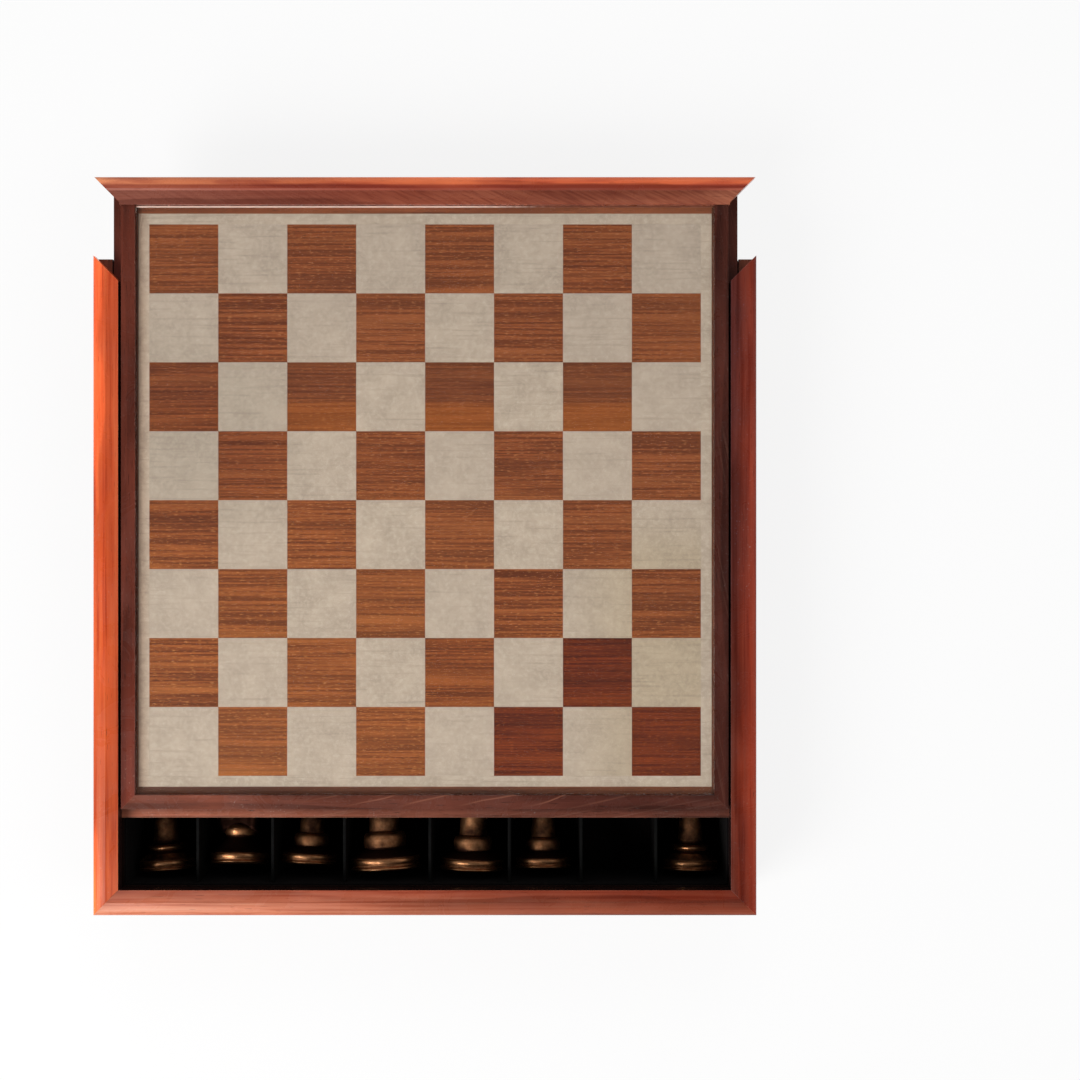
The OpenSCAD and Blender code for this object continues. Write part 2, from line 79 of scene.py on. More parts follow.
class Wire:
    """A node's output. Its operators and methods add the next node to the same tree."""

    def __init__(self, socket):
        self.socket, self.tree = socket, socket.id_data

    def calc(self, operation, b=0.0, c=0.0, clamp=False):
        return put(self.tree, "ShaderNodeMath", self, b, c, sets={"operation": operation, "use_clamp": clamp})

    def __rsub__(self, other):
        return put(self.tree, "ShaderNodeMath", other, self, sets={"operation": "SUBTRACT"})

    __abs__ = partialmethod(calc, "ABSOLUTE")
    __add__ = partialmethod(calc, "ADD")
    __sub__ = partialmethod(calc, "SUBTRACT")
    __mul__ = partialmethod(calc, "MULTIPLY")
    __truediv__ = partialmethod(calc, "DIVIDE")
    __mod__ = partialmethod(calc, "MODULO")
    __gt__ = partialmethod(calc, "GREATER_THAN")
    __lt__ = partialmethod(calc, "LESS_THAN")

    def ranged(self, low, high, to_low=0.0, to_high=1.0):
        """Spreads low..high smoothly over to_low..to_high."""
        return put(self.tree, "ShaderNodeMapRange", self, low, high, to_low, to_high,
                   sets={"interpolation_type": "SMOOTHSTEP"})

    def vector(self, operation, other, out=0):
        return put(self.tree, "ShaderNodeVectorMath", self, other, out=out, sets={"operation": operation})

    def mapped(self, turn, shift=(0, 0, 0)):
        return put(self.tree, "ShaderNodeMapping", Vector=self, Rotation=turn, Location=shift)

    def axis(self, which):
        return put(self.tree, "ShaderNodeSeparateXYZ", self, out=which)

    def noise(self, scale, detail=2.0, roughness=0.5, distortion=0.0):
        return put(self.tree, "ShaderNodeTexNoise", Vector=self, Scale=scale, Detail=detail,
                   Roughness=roughness, Distortion=distortion)

    def grain(self, stretch, detail=2.0, roughness=0.5):
        """Noise with stretched cells: stretch is how many fill a metre along X, Y and Z."""
        return self.vector("MULTIPLY", stretch).noise(1.0, detail, roughness)

    def bump(self, strength, distance):
        return put(self.tree, "ShaderNodeBump", Strength=strength, Distance=distance, Height=self)


def attribute(tree, label):
    return put(tree, "ShaderNodeAttribute", out="Fac", sets={"attribute_name": label})


def tinted(share, a, b, blend="MIX"):
    """Colour a turned towards colour b by a share."""
    tree = next(value for value in (share, a, b) if isinstance(value, Wire)).tree
    node = tree.nodes.new("ShaderNodeMix")
    node.data_type, node.blend_type = "RGBA", blend
    for i, value in ((0, share), (6, a), (7, b)):
        feed(node.inputs[i], (*value, 1.0) if isinstance(value, tuple) else value)
    return Wire(node.outputs[2])


def times(share, colour, factor):
    """The colour, multiplied by a factor for each channel as far as share."""
    return tinted(share, colour, factor, "MULTIPLY")


def scaled(colour, factor):
    return tuple(factor * channel for channel in colour)


def new_group(name, ins, outs, kind="Shader", out_kind="Float"):
    """An empty node group. Returns it with its inputs by label and its output node."""
    tree = bpy.data.node_groups.new(name, kind + "NodeTree")
    for label, in_kind, default in ins:
        socket = tree.interface.new_socket(label, in_out="INPUT", socket_type="NodeSocket" + in_kind)
        if default is not None:
            socket.default_value = default
    for label in outs:
        tree.interface.new_socket(label, in_out="OUTPUT", socket_type="NodeSocket" + out_kind)
    entry = tree.nodes.new("NodeGroupInput").outputs
    return tree, {label: Wire(entry[label]) for label, *_ in ins}, tree.nodes.new("NodeGroupOutput")


def group_node(tree, group, **values):
    """Uses a group in a tree, and returns its outputs by name."""
    node = tree.nodes.new("ShaderNodeGroup")
    node.node_tree = group
    dress(node, **values)
    return {socket.name: Wire(socket) for socket in node.outputs}


VECTOR_IN = ("Vector", "Vector", (0, 0, 0))

# Growth rings, fibres and pores of a board whose grain runs along X
FIGURE, ins, ends = new_group(
    "wood figure", [VECTOR_IN, ("Rings", "Float", 110.0), ("Sway", "Float", 2.4), ("Pores", "Float", 0.5)],
    ["Rings", "Fibres", "Pores", "Clouds"])
at = ins["Vector"]
across = at.vector("DOT_PRODUCT", (0, 1, 0.45), "Value")
saw = (across * ins["Rings"] + at.grain((3.2, 26, 26), 3.0) * ins["Sway"]).calc("FRACT")
pore_floor = 0.78 - ins["Pores"] * 0.2
dress(ends, Rings=(saw * saw.ranged(1.0, 0.86)).ranged(0.1, 0.85),
      Fibres=at.grain((9, 1500, 1500), 3.0, 0.6),
      Pores=(at.grain((95, 2600, 2600), 1.0) - pore_floor).ranged(0.0, 0.06),
      Clouds=at.grain((7, 38, 38), 3.0))

# How far an eased edge is rubbed: the mesh marks its eased faces, and noise breaks the line up
RUBBED, ins, ends = new_group("rubbed edge", [VECTOR_IN, ("Amount", "Float", 0.5)], ["Rubbed"])
worn = ins["Vector"].noise(60.0, 4.0, 0.65) + ins["Amount"] - 0.72
dress(ends, Rubbed=attribute(RUBBED, "eased") * worn.ranged(0.0, 0.3))

# Dust and finger marks that break up a gloss
HANDLED, ins, ends = new_group(
    "handled gloss", [VECTOR_IN, ("Clean", "Float", 0.2), ("Dull", "Float", 0.4)], ["Roughness", "Dust"])
smears = ins["Vector"].noise(24.0, 5.0, 0.7, 1.4)
specks = ins["Vector"].noise(900.0)
dress(ends, Roughness=smears.ranged(0.35, 0.7).calc("MULTIPLY_ADD", ins["Dull"] - ins["Clean"], ins["Clean"]),
      Dust=specks.ranged(0.62, 0.75) * smears.ranged(0.4, 0.75))

ALONG_X = (0.0, 0.0, 0.0)
ALONG_Y = (0.0, 0.0, -math.pi / 2)


def new_material(name):
    """A material, its Principled shader and the piece's own coordinates."""
    material = bpy.data.materials.new(name)
    material.use_nodes = True
    shader = next(n for n in material.node_tree.nodes if n.type == "BSDF_PRINCIPLED")
    return material, shader, put(material.node_tree, "ShaderNodeTexCoord", out="Object")


def reopened(material):
    """A finished material's shader, own coordinates and colour, to lay more over it."""
    nodes = material.node_tree.nodes
    shader = next(n for n in nodes if n.type == "BSDF_PRINCIPLED")
    own = next(n for n in nodes if n.type == "TEX_COORD").outputs["Object"]
    return shader, Wire(own), Wire(shader.inputs["Base Color"].links[0].from_socket)


def wood(name, late, early, turn=ALONG_X, shift=(0, 0, 0), rings=110.0, sway=2.4, pores=0.5, clouds=0.35,
         rub=0.5, rub_tint=(0.62, 0.33, 0.2), clean=0.28, dull=0.5, coat=0.35, coat_rough=0.16, relief=0.12):
    """Varnished hardwood: early and late wood colours, pores, cloudy figure and rubbed edges."""
    material, shader, own = new_material(name)
    figure = group_node(own.tree, FIGURE, Vector=own.mapped(turn, shift), Rings=rings, Sway=sway, Pores=pores)
    colour = tinted(figure["Fibres"].calc("MULTIPLY_ADD", 0.9, -0.2, clamp=True), late, early)
    colour = tinted(figure["Rings"] * 0.6, colour, scaled(late, 0.5))
    colour = tinted(figure["Clouds"].ranged(0.4, 0.7) * clouds, colour, scaled(early, 1.5))
    colour = tinted(figure["Pores"] * 0.75, colour, scaled(late, 0.22))
    worn = group_node(own.tree, RUBBED, Vector=own, Amount=rub)["Rubbed"]
    colour = tinted(worn * 0.8, colour, rub_tint)
    gloss = group_node(own.tree, HANDLED, Vector=own, Clean=clean, Dull=dull)
    height = figure["Fibres"] * 0.35 - figure["Pores"]
    dress(shader, Base_Color=tinted(gloss["Dust"] * 0.25, colour, (0.6, 0.55, 0.5)),
          Roughness=worn.calc("MULTIPLY_ADD", 0.2, gloss["Roughness"]), Normal=height.bump(relief, 0.3 * MM),
          Specular_IOR_Level=0.25, Coat_Weight=coat, Coat_Roughness=coat_rough)
    return material


def merged_copy(node):
    """The CAD node's shape as an editable mesh: shared corners, and flat faces in one piece each."""
    form = bmesh.new()
    form.from_mesh(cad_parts[node].data)
    bmesh.ops.remove_doubles(form, verts=form.verts, dist=0.01 * MM)
    bmesh.ops.dissolve_limit(form, angle_limit=math.radians(0.5), verts=form.verts, edges=form.edges)
    return form


def rounded(form, edges, width, segments):
    return bmesh.ops.bevel(form, geom=edges, offset=width, segments=segments, affect="EDGES", profile=0.5,
                           clamp_overlap=True)["faces"]


def ease(form, width, sharper_than=35):
    """Rounds the sharp edges a little, and marks the new faces as eased."""
    mark = form.faces.layers.float.new("eased")
    sharp = [e for e in form.edges if e.is_manifold and e.calc_face_angle(0) > math.radians(sharper_than)]
    for face in rounded(form, sharp, width, 2):
        face[mark] = 1.0
    return form


def linked(name, data):
    """A new object in the scene."""
    made = bpy.data.objects.new(name, data)
    bpy.context.scene.collection.objects.link(made)
    return made


def placed(mesh, name, body, node, smooth=38):
    """Makes a finished mesh a piece that rides on its body and stands for its CAD node."""
    mesh.shade_smooth()
    mesh.set_sharp_from_angle(angle=math.radians(smooth))
    piece = linked(name, mesh)
    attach(piece, body)
    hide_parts(node)
    return piece


def settled(form, name, body, finish, node, smooth=38, flat_faces=True):
    """Makes an edited form such a piece."""
    mesh = bpy.data.meshes.new(name)
    form.to_mesh(mesh)
    form.free()
    mesh.materials.append(finish)
    piece = placed(mesh, name, body, node, smooth)
    if flat_faces:
        piece.modifiers.new("flat faces stay flat", "WEIGHTED_NORMAL").keep_sharp = True
    return piece


def eased_piece(node, name, body, finish, width, sharper_than=35):
    """A piece in its CAD node's shape, with its edges eased."""
    return settled(ease(merged_copy(node), width, sharper_than), name, body, finish, node)


def shaded_inside(finish, axis, place, sign, above):
    """Painted shade: the wood is darkened almost to black where it faces into the drawer, past a place and above
    the floor, where the groove and the drawer's inside lie in shade.
    """
    shader, own, base = reopened(finish)
    past = (own.axis(axis) - place) * sign > 0.0
    dress(shader, Base_Color=times(past * (own.axis("Z") > above), base, (0.09, 0.12, 0.16)))


lining_x, lining_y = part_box("right_felt")[1].x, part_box("front_felt")[0].y
floor_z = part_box("base_panel")[1].z
GROOVE_W = 5.8 * MM  # the painted shade reaches past the lining by the width of the running groove
# For each wall: its grain's direction, and the axis, place and sign that say where its inside, and its painted
# shade, starts
WALLS = {"left_wall": (ALONG_Y, "X", -lining_x - GROOVE_W, 1),
         "right_wall": (ALONG_Y, "X", lining_x + GROOVE_W, -1),
         "front_wall": (ALONG_X, "Y", lining_y - GROOVE_W, 1),
         "rear_wall": (ALONG_X, "Y", -lining_y + GROOVE_W, -1)}
for i, (wall, (turn, *inside)) in enumerate(WALLS.items()):
    boards = wood(wall + " wood", (0.115, 0.032, 0.018), (0.24, 0.075, 0.042), turn,
                  (0.37 * i, 0.021 * i, 0.013 * i), rings=75, sway=3.4, pores=0.8, rub=0.45,
                  rub_tint=(0.42, 0.2, 0.12), clean=0.3, coat=0.3)
    # Painted shade darkens the wall where it faces into the drawer
    shaded_inside(boards, *inside, floor_z)
    eased_piece(wall, wall + "_board", "drawer", boards, 0.5 * MM)

# ---- Drawer base ----
# A sheet of plain plywood let into the walls from below, its outer ply dry and unpolished.
# Twelve countersunk steel screws hold it, each turned home to a slot of its own direction.


def plywood(name, late, early, turn, shift, rings, sway, dull):
    return wood(name, late, early, turn, shift, rings=rings, sway=sway, pores=0.3, clouds=0.3, rub=0.2,
                rub_tint=(0.6, 0.45, 0.3), clean=0.6, dull=dull, coat=0.0, relief=0.3)


base_ply = plywood("base ply", (0.36, 0.22, 0.115), (0.52, 0.35, 0.2), ALONG_X, (0.5, 0, 0), 26, 6.0, 0.75)
eased_piece("base_panel", "base_ply", "drawer", base_ply, 0.2 * MM)

steel, shader, own = new_material("screw steel")
scratches = own.grain((2600, 2600, 300), 3.0, 0.7)
dress(shader, Base_Color=tinted(scratches.ranged(0.45, 0.75), (0.42, 0.41, 0.39), (0.16, 0.12, 0.09)),
      Roughness=scratches.ranged(0.3, 0.8, 0.28, 0.6), Metallic=1.0)


def islands(node):
    """The corners of each separate solid's box in a CAD node."""
    form = merged_copy(node)
    left, found = set(form.verts), []
    while left:
        reached = [left.pop()]
        for vert in reached:
            for edge in vert.link_edges:
                other = edge.other_vert(vert)
                if other in left:
                    left.remove(other)
                    reached.append(other)
        corners = np.array([v.co for v in reached])
        found.append((corners.min(0), corners.max(0)))
    form.free()
    return sorted(found, key=lambda box: tuple(box[0]))


SCREW_SIDES = 40
THREAD_TURNS = 9
SLOT_SHARES = (0.28, 0.55, 0.7)  # of the head: width by its radius, depth by its height, floor by its radius


def screw_mesh(name, head_r, length):
    """A slotted countersunk screw standing on its head's face at the origin, its point upwards."""
    head_h, shank_r = 0.62 * head_r, 0.5 * head_r
    slot_side, slot_d, floor_x = SLOT_SHARES[0] * head_r / 2, SLOT_SHARES[1] * head_h, SLOT_SHARES[2] * head_r
    outline = [(head_r * 0.96, 0), (head_r, 0.12 * head_h), (shank_r, head_h), (shank_r, 0.5 * length)]
    for i in range(2 * THREAD_TURNS):
        outline.append((shank_r * (1.0 if i % 2 else 0.72), (0.5 + 0.44 * i / (2 * THREAD_TURNS)) * length))
    outline.append((0.05 * shank_r, length))
    form = bmesh.new()
    turns = [2 * math.pi * k / SCREW_SIDES for k in range(SCREW_SIDES)]
    rings = [[form.verts.new((r * math.cos(a), r * math.sin(a), z)) for a in turns] for r, z in outline]
    for low, high in zip(rings, rings[1:]):
        for k in range(SCREW_SIDES):
            nxt = (k + 1) % SCREW_SIDES
            form.faces.new((low[k], low[nxt], high[nxt], high[k]))
    form.faces.new(rings[-1])
    # The head's face is two half moons beside the slot, whose ends slope inwards to stay within the cone
    corners = {}
    for side in (1, -1):
        half = sorted((v for v in rings[0] if v.co.y * side > slot_side), key=lambda v: v.co.x * side)
        top = [form.verts.new((v.co.x, side * slot_side, 0)) for v in (half[-1], half[0])]
        deep = [form.verts.new((math.copysign(floor_x, v.co.x), v.co.y, slot_d)) for v in top]
        form.faces.new(half + top)
        form.faces.new((top[1], top[0], deep[0], deep[1]))
        for corner in zip((half[-1], half[0]), top, deep):
            corners[side, corner[0].co.x > 0] = corner
    for right in (True, False):
        between = [v for v in rings[0] if abs(v.co.y) <= slot_side and (v.co.x > 0) == right]
        (rim_a, top_a, deep_a), (rim_b, top_b, deep_b) = corners[1, right], corners[-1, right]
        form.faces.new((rim_a, *between, rim_b, top_b, top_a))
        form.faces.new((top_a, top_b, deep_b, deep_a))
    form.faces.new([corners[key][2] for key in ((1, True), (-1, True), (-1, False), (1, False))])
    bmesh.ops.recalc_face_normals(form, faces=form.faces)
    mesh = bpy.data.meshes.new(name)
    form.to_mesh(mesh)
    form.free()
    return mesh


def geometry_group(name, ins):
    return new_group(name, ins + [("Finish", "Material", None), ("Seed", "Int", 1)], ["Geometry"], "Geometry",
                     "Geometry")


def made_real(tree, instances, ins, ends):
    """Puts the instances out as real meshes of the group's material."""
    real = put(tree, "GeometryNodeRealizeInstances", Geometry=instances)
    dress(ends, Geometry=put(tree, "GeometryNodeSetMaterial", Geometry=real, Material=ins["Finish"]))


def grown(name, tree, values, base=None):
    """Runs a geometry group on a base mesh with its inputs set by label, and returns the plain mesh."""
    host = linked(name + " host", base or bpy.data.meshes.new(name + " host"))
    modifier = host.modifiers.new("grow", "NODES")
    modifier.node_group = tree
    for item in tree.interface.items_tree:
        if item.in_out == "INPUT" and item.name in values:
            modifier[item.identifier] = values[item.name]
    host.update_tag()
    bpy.context.view_layer.update()
    mesh = bpy.data.meshes.new_from_object(host.evaluated_get(bpy.context.evaluated_depsgraph_get()))
    mesh.name = name
    bpy.data.objects.remove(host)
    return mesh


# Puts one fastener at each point of the base mesh, turned at random about Z
FASTENERS, ins, ends = geometry_group("fasteners", [("Geometry", "Geometry", None),
                                                    ("Fastener", "Object", None)])
model = put(FASTENERS, "GeometryNodeObjectInfo", Object=ins["Fastener"], out="Geometry")
spin = put(FASTENERS, "FunctionNodeRandomValue", None, None, None, 2 * math.pi, Seed=ins["Seed"], out=1,
           sets={"data_type": "FLOAT"})
made_real(FASTENERS, put(FASTENERS, "GeometryNodeInstanceOnPoints", Points=ins["Geometry"], Instance=model,
                         Rotation=put(FASTENERS, "ShaderNodeCombineXYZ", Z=spin)), ins, ends)


def screws(node, name, body, seed):
    """Slotted screws in place of a CAD node's plain ones, which all point upwards."""
    boxes = islands(node)
    low, high = boxes[0]
    mould = linked(name + " mould", screw_mesh(name + " mould", (high[0] - low[0]) / 2, high[2] - low[2]))
    spots = bpy.data.meshes.new(name + " spots")
    spots.from_pydata([((a[0] + b[0]) / 2, (a[1] + b[1]) / 2, a[2]) for a, b in boxes], [], [])
    mesh = grown(name, FASTENERS, {"Fastener": mould, "Finish": steel, "Seed": seed}, spots)
    bpy.data.objects.remove(mould)
    placed(mesh, name, body, node)


screws("base_screws", "base_screw_set", "drawer", 3)

# ---- Felt ----
# Black felt glued to the floor and, in four strips, to the insides of the walls. It is laid flat,
# and its face is a short matted nap with a little lint.

FELT_STEP = 6.6 * MM
felt, shader, own = new_material("black felt")
nap = own.noise(2300.0, 4.0, 0.8)
matting = own.noise(95.0, 4.0, 0.6)
lint = put(own.tree, "ShaderNodeTexVoronoi", Vector=own, Scale=240.0, sets={"feature": "DISTANCE_TO_EDGE"})
tone = tinted(nap.ranged(0.3, 0.75), (0.0016, 0.0012, 0.0013), (0.007, 0.005, 0.005))
tone = tinted(matting.ranged(0.5, 0.8) * 0.4, tone, (0.011, 0.008, 0.0075))
fluff = lint.ranged(0.02, 0.0) * matting.ranged(0.6, 0.75)
dress(shader, Base_Color=tinted(fluff * 0.35, tone, (0.05, 0.04, 0.037)), Normal=nap.bump(0.5, 0.4 * MM),
      Roughness=matting.ranged(0.2, 0.8, 0.85, 1.0), Specular_IOR_Level=0.1, Sheen_Weight=0.01)


def napped(node, name):
    """A felt sheet with a slightly uneven face, kept inside its CAD sheet. Returns its flat size too."""
    low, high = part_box(node)
    size = high - low
    thin = min(range(3), key=lambda i: size[i])
    wide = [i for i in range(3) if i != thin]
    counts = [max(2, round(size[i] / FELT_STEP)) for i in wide]
    form = bmesh.new()
    grid = {}
    for a in range(counts[0] + 1):
        for b in range(counts[1] + 1):
            for face, depth, inwards in ((0, low[thin], 1), (1, high[thin], -1)):
                p = Vector((0, 0, 0))
                for i, count, k in zip(wide, counts, (a, b)):
                    p[i] = low[i] + size[i] * k / count
                p[thin] = depth
                p[thin] += inwards * 0.12 * size[thin] * (0.5 + 0.5 * noise.noise(p * 70))
                grid[a, b, face] = form.verts.new(p)

    def quad(*corners):
        form.faces.new([grid[corner] for corner in corners])

    for a in range(counts[0]):
        for b in range(counts[1]):
            for face in (0, 1):
                quad((a, b, face), (a + 1, b, face), (a + 1, b + 1, face), (a, b + 1, face))
    for a in range(counts[0]):
        for b in (0, counts[1]):
            quad((a, b, 0), (a + 1, b, 0), (a + 1, b, 1), (a, b, 1))
    for b in range(counts[1]):
        for a in (0, counts[0]):
            quad((a, b, 0), (a, b + 1, 0), (a, b + 1, 1), (a, b, 1))
    bmesh.ops.recalc_face_normals(form, faces=form.faces)
    piece = settled(form, name, "drawer", felt, node, smooth=50, flat_faces=False)
    return piece, (size[wide[0]], size[wide[1]])


for side, carrier in (("floor", "base_ply"), ("left", "left_wall_board"), ("right", "right_wall_board"),
                      ("front", "front_wall_board"), ("rear", "rear_wall_board")):
    lining, flat = napped(side + "_felt", side + "_lining")

# ---- Dividers ----
# Thin boards stained black, halved over each other and dropped in loose. Their top edges have
# rubbed to grey where men have been lifted past them.

stained, shader, own = new_material("black stained board")
top_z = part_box("file_divider_1")[1].z
near_top = own.axis("Z").ranged(top_z - 1.6 * MM, top_z - 0.1 * MM)
scuffs = own.noise(130.0, 5.0, 0.7)
fibre = own.grain((700, 60, 900), 3.0)
tone = tinted(fibre.ranged(0.35, 0.75), (0.0022, 0.002, 0.0018), (0.007, 0.006, 0.0055))
tone = tinted(near_top * scuffs.ranged(0.3, 0.62, 0.3, 1.0), tone, (0.0035, 0.0037, 0.0036))
dress(shader, Base_Color=tone, Specular_IOR_Level=0.08, Roughness=scuffs.ranged(0.3, 0.7, 0.6, 0.85),
      Normal=fibre.bump(0.25, 0.2 * MM))
for node in [f"file_divider_{i}" for i in range(1, 8)] + [f"rank_divider_{i}" for i in range(1, 4)]:
    eased_piece(node, node + "_board", "drawer", stained, 0.3 * MM)

# ---- Drawer mouldings ----
# Three lengths of reddish moulding, mitred, glued on the walls and varnished to a gloss. The left
# one has brighter, more orange colours and the right one the darkest: partly the wood's own colour,
# partly painted light on the left one and painted shade on the right one.

# For each length, and for the rail: its grain's two colours, which hold painted light and shade besides
# the wood's own colour, the way its outer edge faces, the painted light and shade its colour is multiplied
# by at its left or front end and at its other end, the share of its length over which that changes, and
# the painted shade its colour is multiplied by along its inner side
MOULDINGS = {
    "left_moulding": ((0.93, 0.115, 0.030), (1.0, 0.20, 0.060), "-X",
                      (0.98, 1.05, 0.85), (1.0, 0.95, 0.95), 1.0, (0.56, 0.58, 0.70)),
    "right_moulding": ((0.20, 0.024, 0.011), (0.35, 0.057, 0.025), "+X",
                       (1.35, 1.1, 0.8), (0.9, 0.9, 1.0), 1.0, (0.37, 0.55, 0.90)),
    "front_moulding": ((0.62, 0.185, 0.10), (0.84, 0.34, 0.21), "-Y",
                       (0.80, 0.76, 0.71), (0.34, 0.20, 0.16), 1.0, (0.74, 0.52, 0.48)),
    "rear_rail": ((0.72, 0.15, 0.065), (0.98, 0.31, 0.14), "+Y",
                  (1.15, 1.55, 1.6), (0.94, 0.76, 0.63), 0.5, None)}
# Across a length, from its outer edge: its width, the foot of the slope, where painted shade darkens it, where
# the ridge's painted highlight line comes and goes, and where the flat starts, which is painted darker as shade
MOULD_W = 17 * MM
SLOPE_FOOT = (4.3 * MM, 6.2 * MM)
RIDGE_COMES, RIDGE_GOES = (7.7 * MM, 8.3 * MM), (9.6 * MM, 9.1 * MM)
FLAT_STARTS = (8.9 * MM, 9.5 * MM)


def painted_light_along(finish, node, axis, light_at_low, light_at_high, reach=1.0):
    """Paints light and shade along a node: multiplies a finish's colour by one factor at one end of the node and
    by another from reach on.
    """
    shader, own, base = reopened(finish)
    low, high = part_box(node)
    along = own.axis(axis).ranged(low[axis], low[axis] + reach * (high[axis] - low[axis]))
    dress(shader, Base_Color=times(1.0, base, tinted(along, light_at_low, light_at_high)))


def ridge_and_flat(own, base, from_edge, wander, along):
    """The rail's colour: painted shade at the foot of its slope below the ridge, a fine pale ridge line as a
    painted highlight, and a hatched flat painted darker as shade.
    """
    waved = (wander - 0.5).calc("MULTIPLY_ADD", 1.6 * MM, from_edge)
    # Painted shade at the foot of the slope
    colour = times(waved.ranged(*SLOPE_FOOT), base, (0.49, 0.35, 0.41))
    colour = times(own.grain((16, 120, 120), 3.0).ranged(0.48, 0.64), colour, (0.74, 0.61, 0.68))
    # Painted shade: the flat is darker, more so towards the left
    flat = from_edge.ranged(*FLAT_STARTS)
    colour = tinted(flat, colour, times(1.0, base, tinted(along, (0.28, 0.26, 0.38), (0.355, 0.47, 0.70))))
    hatch = own.mapped((0, 0, math.radians(24))).grain((60, 900, 60), 2.0)
    shown = flat * along.ranged(0.15, 0.6, 0.3, 0.75)
    colour = times(hatch.ranged(0.42, 0.66) * shown, colour, (1.25, 1.36, 1.34))
    colour = times(hatch.ranged(0.5, 0.3) * shown, colour, (0.76, 0.68, 0.71))
    # Painted highlight: a fine pale line along the ridge
    ridge = from_edge.ranged(*RIDGE_COMES) * from_edge.ranged(*RIDGE_GOES)
    return tinted(ridge * wander.ranged(0.3, 0.6, 0.5, 1.0), colour, times(1.0, base, (0.56, 0.62, 1.0)))


def shaded_inner_side(base, from_edge, wander, streaks, inside):
    """A drawer moulding's colour: streaked, with painted shade darkening it inwards, and its very inner face
    nearly black.
    """
    waved = (wander - 0.5).calc("MULTIPLY_ADD", 9 * MM, from_edge)
    # Painted shade: the colour darkens towards the inner side
    colour = times(waved.ranged(0.1 * MOULD_W, 0.95 * MOULD_W), base, inside)
    colour = times(streaks.ranged(0.5, 0.66), colour, (0.78, 0.62, 0.56))
    colour = times(streaks.ranged(0.46, 0.34), colour, (1.04, 1.22, 1.30))
    black = from_edge.ranged(MOULD_W - 0.1 * MM, MOULD_W - 0.03 * MM)
    return tinted(black, colour, (0.016, 0.006, 0.005))


def moulding(node, name, body, turn, shift):
    late, early, outwards, light_at_low, light_at_high, reach, inside = MOULDINGS[node]
    is_rail = inside is None
    finish = wood(node + " wood", late, early, turn, shift, rings=60, sway=3.2, pores=0.35, clouds=0.5, rub=0.42,
                  rub_tint=tuple(min(1.0, c * 1.25 + 0.03) for c in early), clean=0.22, dull=0.42,
                  coat=0.15 if is_rail else 0.03, coat_rough=0.1, relief=0.08)
    across = "XY".index(outwards[1])
    # Painted light and shade along the length
    painted_light_along(finish, node, 1 - across, light_at_low, light_at_high, reach)
    shader, own, base = reopened(finish)
    low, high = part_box(node)
    from_edge = abs(own.axis(across) - (low if outwards[0] == "-" else high)[across])
    wander = own.noise(21.0, 3.0)
    if is_rail:
        along = own.axis(1 - across).ranged(low[1 - across], high[1 - across])
        colour = ridge_and_flat(own, base, from_edge, wander, along)
    else:
        streaks = own.grain((11, 480, 90) if across else (480, 11, 90), 3.0)
        colour = shaded_inner_side(base, from_edge, wander, streaks, inside)
    dress(shader, Base_Color=colour)
    eased_piece(node, name, body, finish, 0.22 * MM, sharper_than=35 if is_rail else 60)


moulding("left_moulding", "left_moulding_length", "drawer", ALONG_Y, (0.1, 0.03, 0.02))
moulding("right_moulding", "right_moulding_length", "drawer", ALONG_Y, (0.9, 0.07, 0.01))
moulding("front_moulding", "front_moulding_length", "drawer", ALONG_X, (1.7, 0.02, 0.04))

# ---- Men ----
# Seven cast and copper-plated men with an antique finish, dark in the hollows, with painted shade on the
# bells' flanks and up the stems, and bright and polished on the rings, shoulders and heads. Each lies loose in
# its compartment on its foot's ring and its head.

copper, shader, own = new_material("antique copper")
cast = own.noise(330.0, 5.0, 0.65)
stain = own.noise(85.0, 4.0, 0.6)
# The darkening is patina in the hollows and painted shade down the men, broken by stains
darkened = attribute(own.tree, "hollow_and_shade").calc("ADD", stain.calc("MULTIPLY_ADD", 1.1, -0.5), clamp=True)
tone = tinted(cast.ranged(0.3, 0.7), (0.58, 0.24, 0.10), (0.76, 0.38, 0.18))
dress(shader, Base_Color=tinted(darkened.ranged(0.1, 0.75), tone, (0.045, 0.018, 0.012)),
      Roughness=darkened.ranged(0.0, 0.5, 0.33, 0.62), Metallic=1.0, Normal=cast.bump(0.35, 0.35 * MM))

# The men are shaped in millimetres, standing, and scaled down as they are laid in place
FOOT_SHARE = 0.54  # the foot's height by the base's width
RING_R, RING_Z = 0.98, 0.28  # the foot's upper ring, as shares of its radius and height
LATHE_SIDES = 72
OUTLINE_STEP = 1.35
COLLARS_H = 9.0

# The foot's shoulder, as shares of the base's radius and of the foot's height, with how dark it is up
# the foot and stem as painted shade: a swelling on most men, higher under the knight, and a thin collar on the
# rooks
SWELLING = (
    [(0.56, 0.54), (0.595, 0.59), (0.61, 0.69), (0.61, 0.81), (0.59, 0.9), (0.54, 0.96), (0.47, 0.99)],
    [(0, 0.05), (0.3, 0.08), (0.36, 0.9), (0.51, 0.85), (0.6, 0.48), (0.74, 0.34), (0.95, 0.1), (1.06, 0.48),
     (1.7, 0.42), (2.2, 0.3)])
HIGH_SWELLING = (
    [(0.55, 0.7), (0.45, 0.82), (0.5, 0.89), (0.54, 0.97), (0.55, 1.06), (0.52, 1.14), (0.46, 1.2), (0.4, 1.23)],
    [(0, 0.05), (0.3, 0.08), (0.36, 0.9), (0.8, 0.85), (0.9, 0.25), (1.12, 0.1), (1.18, 0.1), (1.25, 0.9)])
